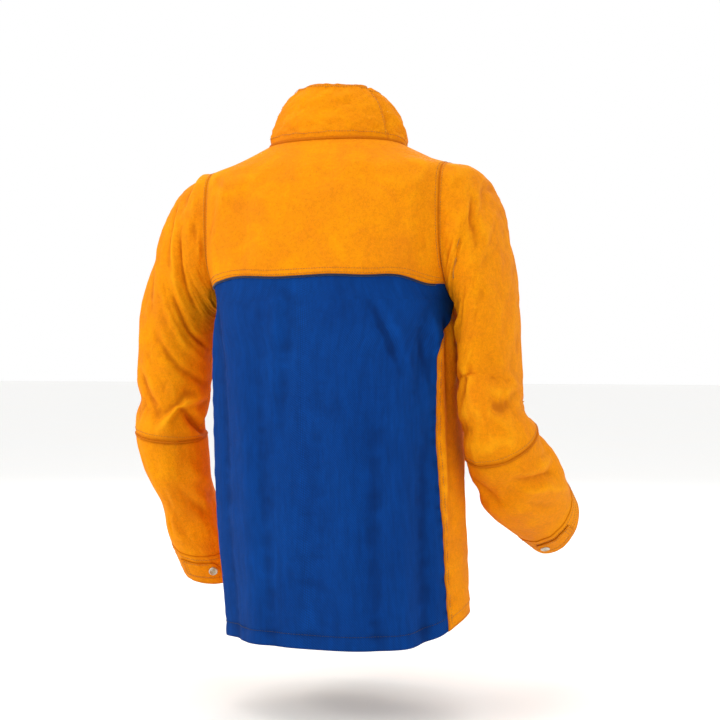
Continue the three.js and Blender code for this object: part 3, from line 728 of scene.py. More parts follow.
# Painted screed: a pale matt floor, hardly mottled
def makeFloorPaint(name):
    material = startMaterial(name)
    place = addNode(material, "TexCoord").outputs["Object"]
    cloud = addNode(material, "TexNoise", {"Vector": place, "Scale": perMetre(600), "Detail": 3.0})
    base = colourRamp(material, cloud.outputs["Fac"], ((0.3, studio["floor"]), (0.7, "f7f6f4")))
    return finishMaterial(material, {"Base Color": base, "Roughness": 0.8})


finish = {
    "goldSuede": makeSuede("goldSplitLeather", suede["outside"]),
    "fleshSide": makeSuede("napBackedLeather", suede["inside"]),
    "drill": makeDrill("blueCottonDrill", drill),
    "nickel": makePlating("nickelPlatedBrass", plating),
    "tape": makeTape("wovenLabelTape", tape),
    **{name: makeThread(name, spec) for name, spec in threads.items()},
}
studioFloor.data.materials.append(makeFloorPaint("paleFloorPaint"))
print("materials ready")


# Making and attaching pieces
def attach(piece, follow, replaces=()):
    if isinstance(follow, str):
        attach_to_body(piece, follow)
    else:
        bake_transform(piece)
    if replaces:
        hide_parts(*replaces)
    return piece


def newPiece(name, vertices, faces, materials):
    mesh = bpy.data.meshes.new(name)
    mesh.from_pydata((np.asarray(vertices).reshape(-1, 3) * mm).tolist(), [], faces)
    for material in materials:
        mesh.materials.append(finish[material])
    mesh.shade_smooth()
    piece = bpy.data.objects.new(name, mesh)
    bpy.context.scene.collection.objects.link(piece)
    return piece


def applyModifiers(piece):
    bpy.ops.object.select_all(action="DESELECT")
    bpy.context.view_layer.objects.active = piece
    piece.select_set(True)
    for modifier in list(piece.modifiers):
        bpy.ops.object.modifier_apply(modifier=modifier.name)
    piece.select_set(False)


def foldShade(points, loop):  # painted shade and highlight: 0.5 on flat hide, less in a crease and more on a ridge
    steps = ((2, 1.6), (5, 1.1))
    shade = np.full(points.shape[:2], 0.5)
    downWay, acrossWay = np.gradient(points, axis=0), np.gradient(points, axis=1)
    normal = unit(np.cross(acrossWay, downWay))
    size = (points.shape[0] * points.shape[1]) ** 0.5
    for step, gain in steps:
        step = max(1, round(step * size / 130))
        padded = np.pad(points, ((step, step), (0, 0), (0, 0)), mode="reflect", reflect_type="odd")
        wrap = "wrap" if loop else "reflect"
        kinds = {} if loop else {"reflect_type": "odd"}
        wide = np.pad(points, ((0, 0), (step, step), (0, 0)), mode=wrap, **kinds)
        around = (padded[2 * step:] + padded[:-2 * step] + wide[:, 2 * step:] + wide[:, :-2 * step]) / 4
        bulge = ((points - around) * normal).sum(-1)
        shade += gain * 0.05 * (bulge - np.median(bulge))
    return np.clip(shade, 0, 1)


def clothPiece(name, points, normalSign, loop, thickness, materials, spec):
    # a sheet on a grid of points, given its thickness inwards, with its own flat map, its painted fold shade
    # and highlight values, and its edge values
    rows, columns = points.shape[:2]
    faces = gridFaces(rows, columns, loop)
    if normalSign < 0:
        faces = faces[:, ::-1]
    piece = newPiece(name, points, faces.tolist(), materials)
    acrossStep = np.linalg.norm(np.diff(points, axis=1), axis=-1).mean()
    downStep = np.linalg.norm(np.diff(points, axis=0), axis=-1).mean()
    across = columns if loop else columns - 1
    j, i = np.meshgrid(np.arange(rows - 1), np.arange(across), indexing="ij")
    corners = np.stack([i, j, i + 1, j, i + 1, j + 1, i, j + 1], -1).reshape(-1, 4, 2).astype(float)
    if normalSign < 0:
        corners = corners[:, ::-1]
    flatMap = piece.data.uv_layers.new(name="flat")
    flatMap.data.foreach_set("uv", (corners * (acrossStep * mm, downStep
                                               * mm)).reshape(-1).astype(np.float32))
    shade = foldShade(points, loop)
    if normalSign < 0:
        shade = 1 - shade
    fromEdge = np.minimum(np.arange(rows), np.arange(rows)[::-1])[:, None] * downStep * np.ones((1, columns))
    if not loop:
        fromEdge = np.minimum(fromEdge, np.minimum(np.arange(columns), np.arange(columns)[::-1]) * acrossStep)
    # the fold values are painted shade in creases and a painted highlight on ridges; the rim values mark the
    # piece's edges
    for label, value in (("foldShading", shade), ("rim", np.exp(-fromEdge / spec.get("rim", 2.2)))):
        piece.data.attributes.new(label, "FLOAT", "POINT").data.foreach_set(
            "value", value.reshape(-1).astype(np.float32))
    wall = piece.modifiers.new("wall", "SOLIDIFY")
    wall.thickness, wall.offset = thickness * mm, -1
    if len(materials) > 1:
        wall.material_offset = 1
    applyModifiers(piece)
    area = sum(p.area for p in piece.data.polygons) / 2
    print(" ", name, len(piece.data.polygons) * 2, "triangles, about", round(area, 3), "square metres")
    return piece


thread = {"pitch": 4.2, "stitch": 3.1, "radius": 0.48}


def stitchSet(rowsOfPoints):
    # lock stitches along lines of (points, normals): short closed capsules that dip into the surface
    half, r = thread["stitch"] / 2, thread["radius"]
    stations = ((-half, 0.35 * r, -0.5 * r), (-0.6 * half, r, 0.25 * r), (0.6 * half, r, 0.25 * r),
                (half, 0.35 * r, -0.5 * r))
    template = np.array([(x, k * math.cos(a), up + k * math.sin(a))
                         for x, k, up in stations for a in (math.pi / 4 + n * math.pi / 2 for n in range(4))])
    templateFaces = [[j * 4 + n, j * 4 + (n + 1) % 4, j * 4 + 4 + (n + 1) % 4, j * 4 + 4 + n]
                     for j in range(3) for n in range(4)]
    templateFaces = [face[::-1] for face in templateFaces] + [[0, 1, 2, 3], [15, 14, 13, 12]]
    templateFaces = np.array(templateFaces)
    vertices, faces, count = [], [], 0
    for points, normals in rowsOfPoints:
        reach = np.concatenate([[0], np.cumsum(np.linalg.norm(np.diff(points, axis=0), axis=1))])
        places = np.arange(thread["pitch"] / 2, reach[-1], thread["pitch"])
        at = np.stack([np.interp(places, reach, points[:, k]) for k in range(3)], -1)
        up = unit(np.stack([np.interp(places, reach, normals[:, k]) for k in range(3)], -1))
        ahead = np.stack([np.interp(places + 1, reach, points[:, k]) for k in range(3)], -1)
        behind = np.stack([np.interp(places - 1, reach, points[:, k]) for k in range(3)], -1)
        way = unit(ahead - behind)
        sideways = unit(np.cross(up, way))
        up = np.cross(way, sideways)
        local = template[None]
        placed = (at[:, None] + local[..., :1] * way[:, None] + local[..., 1:2] * sideways[:, None]
                  + local[..., 2:] * up[:, None])
        vertices.append(placed.reshape(-1, 3))
        faces.append((templateFaces[None] + (count + np.arange(len(places)) * 16)[:, None,
                                                                                  None]).reshape(-1, 4))
        count += len(places) * 16
    return np.concatenate(vertices), np.concatenate(faces).tolist()


def stitches(name, rowsOfPoints, follow, material="seamThread"):
    vertices, faces = stitchSet(rowsOfPoints)
    return attach(newPiece(name, vertices, faces, [material]), follow)


def cord(name, points, normals, radius, material, flatten=1.0, sides=8):
    # a closed tube along a line, flattened along the normals
    way = unit(np.gradient(points, axis=0))
    sideways = unit(np.cross(normals, way))
    up = np.cross(way, sideways)
    turn = np.arange(sides) * 2 * math.pi / sides
    taper = np.ones(len(points))
    taper[[0, -1]] = 0.6
    ring = (points[:, None] + (np.cos(turn)[:, None] * sideways[:, None] * radius
                               + np.sin(turn)[:, None] * up[:, None] * radius * flatten) * taper[:, None,
                                                                                                 None])
    faces = gridFaces(len(points), sides, True)[:, ::-1].tolist()
    faces += [list(range(sides)), [(len(points) - 1) * sides + k for k in range(sides)][::-1]]
    return newPiece(name, ring, faces, [material])


def ringCord(name, points, normals, radius, material, sides=8):  # a cord that closes on itself
    way = unit(np.roll(points, -1, 0) - np.roll(points, 1, 0))
    sideways = unit(np.cross(normals, way))
    up = np.cross(way, sideways)
    turn = np.arange(sides) * 2 * math.pi / sides
    ring = points[:, None] + radius * (np.cos(turn)[:, None] * sideways[:, None] + np.sin(turn)[:, None]
                                       * up[:, None])
    faces = gridFaces(len(points) + 1, sides, True)[:, ::-1] % (len(points) * sides)
    return newPiece(name, ring, faces.tolist(), [material])


# Rows of the body panels, closer together where the armhole's edge turns quickly
rowsDown = np.unique(np.concatenate([
    np.linspace(0, armholeTopDepth, 10),
    armholeTopDepth + (jacket["armpitDepth"] - armholeTopDepth) * (0.5 - 0.5 * np.cos(np.linspace(0, np.pi,
                                                                                                  52))),
    jacket["armpitDepth"] + (jacket["backLength"] - jacket["armpitDepth"]) * np.linspace(0, 1, 128) ** 1.15]))


def sideSeam(depth):
    reach = jacket["armpitDepth"] + jacket["sideSeamReach"]
    return (90 + (jacket["sideSeamTop"] - 90) * smooth(depth, jacket["armpitDepth"], reach)
            + (jacket["sideSeamLow"] - jacket["sideSeamTop"]) * smooth(depth, reach, jacket["backLength"]))


def armholeEdge(depth):  # where a body panel ends at the armhole, or at the shoulder or side seam beyond it
    return np.where(depth < jacket["armpitDepth"], armholeAngle(depth, jacket["armholeX"] - 0.4),
                    sideSeam(depth))


def yokeSeam(angle):
    return jacket["yokeDepth"] + jacket["yokeEndDroop"] * smooth(np.abs(angle), 30, 66)


def foldAngle(depth):
    x = jacket["foldNeckX"] + (jacket["foldHemX"] - jacket["foldNeckX"]) * depth / jacket["backLength"]
    ratio = (x / along(jacket["halfWidths"], depth)) ** (along(jacket["squareness"], depth) / 2)
    return 180 - np.degrees(np.arcsin(ratio))


def pastCentre(depth, past):  # the angle at a distance past the centre line of the opening
    wide = along(jacket["halfWidths"], depth)
    ratio = (np.abs(past) / wide) ** (along(jacket["squareness"], depth) / 2)
    return 180 + np.sign(past) * np.degrees(np.arcsin(ratio))


def panelGrid(fromAngle, toAngle, depths, columns):
    # angles and depths of a panel's points; depths is a function of (rows, angle)
    u = np.linspace(0, 1, columns)[None, :]
    angle = np.zeros((len(depths(0.0)), columns))
    for _ in range(8):
        depth = depths(angle)
        angle = fromAngle(depth) + (toAngle(depth) - fromAngle(depth)) * u
    return angle, depth


def seamDip(distance, width=3.0, depth=0.4):  # the surface dips towards a seam
    return -depth * np.exp(-(distance / width) ** 2)


# Back yoke: its lower edge lies over the cotton panel
yoke = {"columns": 190, "overlap": 7, "lift": 1.5, "thickness": 1.4, "edgeWave": 1.1, "flat": (0.62, 0.3),
        "area": 0.118}
yokeTop = rowsDown[rowsDown < 150]


def yokeDepths(angle):
    angle = np.zeros((1, 1)) + angle
    bottom = yokeSeam(angle) + yoke["overlap"] + yoke["edgeWave"] * np.sin(np.radians(angle * 11))
    share = np.linspace(0, 1, 24)[:, None]
    upper = np.broadcast_to(yokeTop[:, None], (len(yokeTop), angle.shape[1]))
    if angle.shape[0] > 1:
        bottom = bottom[-1:]
    return np.concatenate([upper, 150 + (bottom - 150) * share])


def makeYoke():
    angle, depth = panelGrid(lambda d: -armholeEdge(d), armholeEdge, yokeDepths, yoke["columns"])
    edge = (armholeEdge(depth) - np.abs(angle)) * bodyGrid["degreeWidth"]
    lift = yoke["lift"] * smooth(depth, 140, 195) + seamDip(edge) * (1 - smooth(depth, 185,
                                                                                210)) + seamDip(depth)
    points, _ = onBody(angle, depth, lift)
    piece = clothPiece("backYoke", points, 1, False, yoke["thickness"], ["goldSuede", "fleshSide"], {})
    attach(piece, "torso", ["back_yoke"])
    rows = []
    across = np.linspace(-1, 1, 400)
    for above in (3.2, 9.6):
        wave = yoke["edgeWave"] * np.sin(np.radians(across * 64 * 11))
        depthLine = yokeSeam(across * 64) + yoke["overlap"] - above + wave
        angleLine = across * (armholeEdge(depthLine) - 1.2)
        rows.append(onBody(angleLine, depthLine, yoke["lift"] + 0.15))
    for sign in (-1, 1):  # beside the armholes and along the shoulder seams
        down = np.linspace(armholeTopDepth + 1.5, 204, 200)
        rows.append(onBody(sign * (armholeEdge(down) - 6 / bodyGrid["degreeWidth"]), down, yoke["lift"]
                           * smooth(down, 140, 195) + 0.1))
        shoulder = np.linspace(3, armholeTopDepth - 1, 40)
        rows.append(onBody(sign * (90 - 4.5 + 0 * shoulder), shoulder, 0.1))
    seam = stitches("backYokeStitching", rows, "torso")
    # A dark navy cord half under the yoke's lower edge draws the dark line along this seam
    edgeAngle = np.linspace(-66, 66, 260)
    edgeDepth = yokeSeam(edgeAngle) + yoke["overlap"] + 1.2 + yoke["edgeWave"] * np.sin(np.radians(edgeAngle
                                                                                                   * 11))
    edgeCord = cord("yokeEdgeCord", *onBody(edgeAngle, edgeDepth, 0.9), 1.8, "navyPiping", 0.8)
    attach(edgeCord, "torso")


# Back panel: cotton drill from the yoke seam to the hem, its side edges under the leather
backPanel = {"columns": 150, "thickness": 0.9, "underlap": 6, "hem": 19, "flat": (0.52, 0.57), "area": 0.285}
panelRows = rowsDown[rowsDown > 236]


def panelDepths(angle):
    angle = np.zeros((1, 1)) + angle
    if angle.shape[0] > 1:
        angle = angle[:1]
    top = yokeSeam(angle) - 2
    share = np.linspace(0, 1, 12)[:-1, None]
    return np.concatenate([top + (236 - top) * share,
                           np.broadcast_to(panelRows[:, None], (len(panelRows), angle.shape[1]))])


def makeBackPanel():
    def edge(depth):
        return armholeEdge(depth) + backPanel["underlap"] / 2 / bodyGrid["degreeWidth"] * smooth(depth, 252,
                                                                                                 275)

    angle, depth = panelGrid(lambda d: -edge(d), edge, panelDepths, backPanel["columns"])
    fromSide = (edge(depth) - np.abs(angle)) * bodyGrid["degreeWidth"]
    pucker = 0.9 * np.sin(depth * 0.21 + 1.7 * np.sin(depth * 0.043)) * np.exp(-((fromSide - 10) / 9)
                                                                               ** 2) * smooth(depth, 250, 300)
    hemRoll = 0.8 * np.exp(-((depth - 766 + backPanel["hem"]) / 3) ** 2) * -1 + 0.7 * smooth(depth, 750, 766)
    points, _ = onBody(angle, depth, pucker + hemRoll - 0.3)
    piece = clothPiece("backPanel", points, 1, False, backPanel["thickness"], ["drill"], {"rim": 1.2})
    attach(piece, "torso", ["back_panel"])
    across = np.linspace(-68, 68, 360)
    hemDepth = 766 - backPanel["hem"]
    hemStitch = stitches("backHemStitching", [onBody(across, hemDepth + 0 * across, -0.3)],
                         "torso", "darkThread")
    # the turned-up hem inside
    turnedAngle, turnedDepth = np.meshgrid(np.linspace(-69, 69, 110), np.linspace(hemDepth - 3, 767, 9))
    turned, _ = onBody(turnedAngle, turnedDepth, -1.5)
    turnUp = clothPiece("backHemTurnUp", turned, 1, False, 0.8, ["drill"], {"rim": 1.2})
    attach(turnUp, "torso")


# Fronts: each one panel from the side seam and armhole to the opening
front = {"columns": 112, "thickness": 1.4, "overlap": 6, "lift": 1.1, "bend": 34, "hem": 16,
         "flat": (0.4, 0.78), "area": 0.262}
stack = {"rightPlacket": 1.8, "leftFacing": 5.4, "leftFront": 7.2}


def foldBend(name, side):  # where the piece would bend: the torso before the fold line and the opening after it, with a point on the fold and one past it
    joint = next(j for j in frame["record"]["behaviour"]["joints"] if j["name"] == f"{name}_front_opens")
    pivot, axis = Vector(joint["pos_m"]), Vector(joint["axis"])
    way = Vector((-side * abs(axis.z), 0, -abs(axis.x))).normalized()
    if way.dot(axis) > 0.01 or way.dot(axis) < -0.01:
        way = (way - axis * way.dot(axis)).normalized()
    return ("torso", f"{name}_opening", pivot - way * 0.004, pivot + way * front["bend"] * mm)


def frontEdge(name, depth):
    past = jacket["overlapHalf"] * (smooth(depth, -40, 60) if name == "right" else 1)
    return pastCentre(depth, past)


def frontLift(name, angle, depth):
    fromFold = (angle - foldAngle(depth)) / (frontEdge(name, depth) - foldAngle(depth))
    high = stack["leftFront"] * smooth(fromFold, 0.02, 0.3) if name == "left" else 0
    return high + front["lift"] * smooth(depth, 250, 270) * (1 - smooth(angle, 100, 118))


def makeFront(name, side):
    def start(depth):
        below = sideSeam(depth) - front["overlap"] / 2 / bodyGrid["degreeWidth"] * smooth(depth, 252, 275)
        return np.where(depth < jacket["armpitDepth"], 180 - armholeAngle(depth, jacket["armholeX"] - 0.4),
                        below)

    def depths(angle):
        return np.broadcast_to(rowsDown[:, None], (len(rowsDown),
                                                   1 if np.ndim(angle) == 0 else angle.shape[1]))

    angle, depth = panelGrid(start, lambda d: frontEdge(name, d), depths, front["columns"])
    atEdge = (angle - start(depth)) * bodyGrid["degreeWidth"]
    dip = seamDip(atEdge) * (1 - smooth(depth, 246, 254)) + seamDip(depth)
    besideEdge = np.exp(-((atEdge - 9) / 8) ** 2) * smooth(depth, 255, 300)
    pucker = 0.8 * np.sin(depth * 0.2 + side + 1.4 * np.sin(depth * 0.05)) * besideEdge
    points, _ = onBody(side * angle, depth, frontLift(name, angle, depth) + dip + pucker)
    piece = clothPiece(name + "Front", points, side, False, front["thickness"], ["goldSuede", "fleshSide"],
                       {})
    bend = foldBend(name, side)
    attach(piece, bend, [name + "_front_side", name + "_front"])
    rows = []
    down = np.linspace(272, 764, 320)
    for inside in (2.4, 8.4):  # side seam
        at = start(down) + inside / bodyGrid["degreeWidth"]
        rows.append(onBody(side * at, down, frontLift(name, at, down) + 0.15))
    down = np.linspace(armholeTopDepth + 1.5, 246, 200)
    at = start(down) + 6 / bodyGrid["degreeWidth"]
    rows.append(onBody(side * at, down, 0.1 + 0 * down))
    across = np.linspace(0.02, 0.98, 300)
    hemDepth = 766 - front["hem"] + 0 * across
    at = start(hemDepth) + (frontEdge(name, hemDepth) - start(hemDepth)) * across
    rows.append(onBody(side * at, hemDepth, frontLift(name, at, hemDepth) + 0.15))
    down = np.linspace(24, 764, 380)
    for inside in (3, jacket["facingWidth"] - 3):  # along the opening
        if name == "left" or inside > 3:
            at = pastCentre(down, jacket["overlapHalf"] - inside)
            rows.append(onBody(side * at, down, frontLift(name, at, down) + 0.15))
    seam = stitches(name + "FrontStitching", rows, bend)


# Facing behind the left front, and the placket on the right one
strip = {"columns": 14, "thickness": 1.4, "flat": (0.033, 0.75), "from": 32}


def makeStrip(name, side, label, node, lift):
    down = rowsDown[rowsDown > strip["from"]]
    inner = pastCentre(down, jacket["overlapHalf"] - jacket["facingWidth"])[:, None]
    outer = frontEdge(name, down)[:, None]
    angle = inner + (outer - inner) * np.linspace(0, 1, strip["columns"])[None, :]
    points, _ = onBody(side * angle, down[:, None] + 0 * angle, lift)
    piece = clothPiece(label, points, side, False, strip["thickness"], ["fleshSide"], {})
    body = name + "_opening"
    attach(piece, body, [node])
    rows = []
    if name == "right":
        down = np.linspace(36, 764, 360)
        for inside in (3, jacket["facingWidth"] - 3):
            at = np.minimum(pastCentre(down, jacket["overlapHalf"] - inside), frontEdge(name, down) - 0.8)
            rows.append(onBody(side * at, down, lift + 0.15))
        seam = [stitches(label + "Stitching", rows, body)]
    else:
        seam = []


makeYoke()
makeBackPanel()
for name, side in (("left", 1), ("right", -1)):
    makeFront(name, side)
makeStrip("left", 1, "leftFacing", "left_facing", stack["leftFacing"])
makeStrip("right", -1, "rightPlacket", "right_placket", stack["rightPlacket"])
print("body made")


# Collar: a standing leaf with its lining, and a sewn-on back piece with side edges over the front wings
collar = {"height": 87, "frontHeight": 62, "topHalfWidth": 66, "topHalfDepth": 62, "spread": 158, "flare": 10,
          "backPiece": 57, "thickness": 1.4, "lining": 0.8, "flat": (0.6, 0.1), "area": 0.045}


def collarShape(angle, v):
    angle, v = np.broadcast_arrays(np.asarray(angle, float), np.asarray(v, float))
    sine, cosine = np.sin(np.radians(angle)), np.cos(np.radians(angle))
    frontness = ((1 - cosine) / 2) ** 2
    taper = np.clip(v, 0, 2) ** 2.4
    flare = 1 + collar["flare"] / jacket["neckHalfWidth"] * frontness * v * 2
    height = collar["height"] + (collar["frontHeight"] - collar["height"]) * frontness
    height = height * (1 - 0.3 * smooth(np.abs(angle), 140, 158) ** 2)
    wide = jacket["neckHalfWidth"] + (collar["topHalfWidth"] - jacket["neckHalfWidth"]) * taper
    deep = jacket["neckHalfDepth"] + (collar["topHalfDepth"] - jacket["neckHalfDepth"]) * taper
    return np.stack([wide * sine * flare, deep * cosine * flare, bodyPoint(angle, 0)[..., 2] - 2.4
                     + (height + 2.8) * v], -1)


def collarRise(angle, v):
    beside = np.abs(angle) - collar["backPiece"]
    rise = -3.4 * np.exp(-((beside - 5) / 5) ** 2) * smooth(v, 0.02, 0.25)
    rise = rise + 5 * smooth(beside, 8, 34) * smooth(v, 0.05, 0.7) * (1 - smooth(beside, 60, 100))
    rise = rise + 1.3 * np.sin(np.radians(angle * 5 + 40)) * v + 1.6 * unevenness(angle / 360 + 0.3, v * 0.2)
    rise = rise - 1.8 * np.exp(-((v - 0.52 - 0.06 * np.sin(np.radians(angle * 3))) / 0.09) ** 2)
    return rise * smooth(v, 0, 0.15)


def onCollar(angle, v, lift=0.0):
    angle, v, lift = np.broadcast_arrays(np.asarray(angle, float), np.asarray(v, float), lift)

    def surface(a, b):
        up, down = collarShape(a, b + 0.02), collarShape(a, b - 0.02)
        normal = unit(np.cross(up - down, collarShape(a + 0.5, b) - collarShape(a - 0.5, b)))
        return collarShape(a, b) + normal * collarRise(a, b)[..., None]

    here = surface(angle, v)
    normal = unit(np.cross(surface(angle, v + 0.02) - surface(angle, v - 0.02),
                           surface(angle + 0.5, v) - surface(angle - 0.5, v)))
    return here + normal * lift[..., None], normal


def makeCollar():
    spread = collar["spread"]
    angle, v = np.meshgrid(np.linspace(-spread, spread, 190), np.linspace(0, 1, 34))
    points, normal = onCollar(angle, v)
    lip = [points[-1] - normal[-1] * inwards + np.array([0, 0, up]) for inwards,
           up in ((0.5, 0.7), (1.6, 0.9), (2.7, 0.4))]
    outer = clothPiece("collarOuter", np.concatenate([points, np.array(lip)]), -1, False, collar["thickness"],
                       ["goldSuede", "fleshSide"], {})
    attach(outer, "torso", ["collar_outer"])
    points, _ = onCollar(angle, 0.005 + v * 0.98, -collar["thickness"] - 0.35)
    lining = clothPiece("collarLining", points, -1, False, collar["lining"], ["fleshSide"], {})
    attach(lining, "torso", ["collar_lining"])
    reach = collar["backPiece"]
    angle, v = np.meshgrid(np.linspace(-1, 1, 90), np.linspace(0.03, 0.985, 30))
    angle = angle * (reach + 3 - 4 * v + 3 * v ** 2)
    points, _ = onCollar(angle, v, 0.35 + collar["thickness"] + 0.8 * np.exp(-((np.abs(angle) - reach) / 4)
                                                                             ** 2))
    back = clothPiece("collarBackPiece", points, -1, False, collar["thickness"], ["goldSuede"], {})
    attach(back, "torso")
    turn = np.linspace(-spread + 2, spread - 2, 420)
    top = collar["thickness"]
    rows = [onCollar(turn, 0.945 + 0 * turn, np.where(np.abs(turn) < reach - 1, 2 * top + 0.1, 0.1))]
    rows.append(onCollar(turn, 0.13 + 0 * turn, np.where(np.abs(turn) < reach + 2, 2 * top + 0.1, 0.1)))
    climb = np.linspace(0.08, 0.95, 80)
    for sign in (-1, 1):
        side = sign * (reach + 3 - 4 * climb + 3 * climb ** 2 - 2.6)
        rows.append(onCollar(side, climb, 0.35 + top + 0.6))
        rows.append(onCollar(sign * (spread - 2.5) + 0 * climb, climb, 0.1))
    seam = stitches("collarStitching", rows, "torso")
    turn = np.linspace(-146, 146, 300)
    ridge = cord("neckSeamRidge", *onCollar(turn, 0.025 + 0 * turn, 1.1), 2.5, "goldSuede", 0.75, 10)
    attach(ridge, "torso")


makeCollar()
print("collar made")


# Sleeves: the upper part runs from the torso to the elbow, the forearm part from the elbow to the cuff, and
# the cuff follows the forearm
sleeve = {"columns": 150, "upperRows": 128, "forearmRows": 56, "cuffRows": 16, "thickness": 1.4,
          "cuffThickness": 2.6, "armBend": 0.11, "elbowGap": 0.0008,
          "upperFlat": (0.52, 0.41), "upperArea": 0.17, "forearmFlat": (0.46, 0.17),
          "cuffFlat": (0.36, 0.058)}
tab = {"from": 0.17, "to": 0.36, "width": 30, "lift": 1.9, "thickness": 1.4, "flat": (0.078, 0.031)}


def makeSleeve(name, side):
    centre = (sleevePoint(name, 0.0, np.array([0.985, 1.0])) + sleevePoint(name, 0.5, np.array([0.985,
                                                                                                1.0]))) / 2
    perShare = np.linalg.norm(centre[1] - centre[0]) / 0.015
    cuffAt = 1 - sleeves["cuffLength"] / perShare
    around = np.arange(sleeve["columns"]) / sleeve["columns"]
    sign = -side
    arm, forearm = name + "_arm", name + "_forearm"

    def tubePiece(label, start, end, rows, lift, thickness, materials=("goldSuede", "fleshSide")):
        s = np.linspace(0, 1, rows)
        s = start + (end - start) * (s if start else s ** 1.15)
        w, s = np.meshgrid(around, s)
        dip = 0 if lift else (seamDip(s * 700) + seamDip((s - sleeves["elbowAt"]) * 700)
                              * (1 - smooth(s, 0.85, 0.86)))
        points, _ = onSleeve(name, w, s, lift + dip)
        return clothPiece(label, points, sign, True, thickness, list(materials), {})

    # the shoulder: where a bend from the torso to the arm would start, below the armhole seam
    ring = sleevePoint(name, np.linspace(0, 1, 60), 0.0)
    way = np.array([side * 0.88, 0, -0.475])
    way /= np.linalg.norm(way)
    low = (ring @ way).max()
    middle = ring.mean(0)
    startAt = (middle + way * (low - middle @ way)) * mm
    elbow = sleevePoint(name, np.linspace(0, 1, 60), sleeves["elbowAt"])
    bendLength = min(sleeve["armBend"], ((elbow @ way).min() - low) * mm - 0.002)
    armBend = ("torso", arm, Vector(startAt), Vector(startAt + way * bendLength))
    print(name, "arm bend over", round(bendLength * 1000), "mm")
    upper = tubePiece(name + "UpperSleeve", 0.0004, sleeves["elbowAt"] - sleeve["elbowGap"],
                      sleeve["upperRows"],
                      0, sleeve["thickness"])
    attach(upper, armBend, [name + "_upper_sleeve"])
    # the elbow: where a bend from the arm to the forearm would run, from below the elbow seam to the cuff's
    # start; the cuff follows the forearm
    cuffStart = sleevePoint(name, np.linspace(0, 1, 60), cuffAt)
    way = unit(cuffStart.mean(0) - elbow.mean(0))
    low, high = (elbow @ way).max(), (cuffStart @ way).min()
    low = min(low, high - 30)
    middle = elbow.mean(0)
    elbowBend = (arm, forearm, Vector((middle + way * (low - middle @ way)) * mm),
                 Vector((middle + way * (high - middle @ way)) * mm))
    lower = tubePiece(name + "ForearmSleeve", sleeves["elbowAt"] + sleeve["elbowGap"], cuffAt + 0.004,
                      sleeve["forearmRows"], 0, sleeve["thickness"])
    attach(lower, elbowBend, [name + "_forearm_sleeve"])
    cuff = tubePiece(name + "Cuff", cuffAt, 1, sleeve["cuffRows"], 1.2, sleeve["cuffThickness"])
    attach(cuff, forearm, [name + "_cuff"])

    ringShare = np.linspace(0, 1, 320)
    ring, ringNormal = onSleeve(name, ringShare[:-1], 0.0004, -1.3)
    attach(ringCord(name + "ArmholeSeam", ring - np.array([side * 0.6, 0, 0]), ringNormal, 1.5, "goldSuede"),
           "torso")
    ring, ringNormal = onSleeve(name, ringShare[:-1], sleeves["elbowAt"], -0.5)
    attach(ringCord(name + "ElbowSeam", ring, ringNormal, 1.7, "goldSuede"), arm)
    shoulder = stitches(name + "ArmholeStitching", [onSleeve(name, ringShare, 0.0085 + 0 * ringShare, 0.0)],
                        armBend)
    seamRows = [onSleeve(name, ringShare, sleeves["elbowAt"] - 0.009 + 0 * ringShare, 0.0)]
    elbowStitch = stitches(name + "ElbowStitching", seamRows, arm)
    cuffRows = [onSleeve(name, ringShare, at + 0 * ringShare, 1.3) for at in (cuffAt + 0.006, cuffAt
                                                                              + 0.015, 0.99)]
    cuffStitch = stitches(name + "CuffStitching", cuffRows, forearm)
    down = np.linspace(0.03, sleeves["elbowAt"] - 0.012, 300)
    underarm = stitches(name + "UnderarmStitching", [onSleeve(name, 0.51 + 0 * down, down, 0.0)],
                        armBend)

    # the cuff's tab, with its rounded end and its snap
    tabMiddle, halfTab = (cuffAt + 1) / 2, tab["width"] / 2 / perShare
    u, v = np.meshgrid(np.linspace(0, 1, 44), np.linspace(-1, 1, 22))
    ending = np.sqrt(np.clip(1 - (np.clip(u - 0.82, 0, 1) / 0.185) ** 2, 0.02, 1))
    bulge = 0.5 * (1 - v ** 4) + 0.4 * smooth(u, 0.7, 1)
    points, _ = onSleeve(name, tab["from"] + (tab["to"] - tab["from"]) * u, tabMiddle + halfTab * v * ending,
                         tab["lift"] + tab["thickness"] + bulge)
    tabPiece = clothPiece(name + "CuffTab", points, sign, False, tab["thickness"], ["goldSuede",
                                                                                    "fleshSide"], {})
    attach(tabPiece, name + "_tab", [name + "_cuff_tab"])
    lift = tab["lift"] + tab["thickness"] + 0.5
    span = np.linspace(0.06, 0.8, 60)
    rows = [onSleeve(name, tab["from"] + (tab["to"] - tab["from"]) * span, tabMiddle + halfTab * edge + 0
                     * span, lift)
            for edge in (-0.82, 0.82)]
    cross = np.linspace(-0.8, 0.8, 24)
    rows += [onSleeve(name, tab["from"] + (tab["to"] - tab["from"]) * at + 0 * cross, tabMiddle + halfTab
                      * cross, lift)
             for at in (0.06, 0.14)]
    tabStitch = stitches(name + "CuffTabStitching", rows, name + "_tab")
    return (onSleeve(name, np.array([tab["to"] - 0.035]), np.array([tabMiddle]), lift + 0.1), name + "_tab",
            name + "_cuff_snap", name + "CuffSnap")


cuffSnaps = [makeSleeve(name, side) for name, side in (("left", 1), ("right", -1))]
print("sleeves made")


# Snaps: pressed caps with a rolled rim and a dished middle, and the studs they close on
snap = {"radius": 7.5, "height": 2.2, "rim": 1.5, "dish": 0.45, "studRadius": 4.2,
        "count": 5, "first": 95, "last": 700}


def pickTopFace(piece):
    shape = bmesh.from_edit_mesh(piece.data)
    highest = max(face.calc_center_median().z for face in shape.faces)
    for face in shape.faces:
        face.select_set(face.normal.z > 0.9 and face.calc_center_median().z > highest - 1e-6)
    bmesh.update_edit_mesh(piece.data)


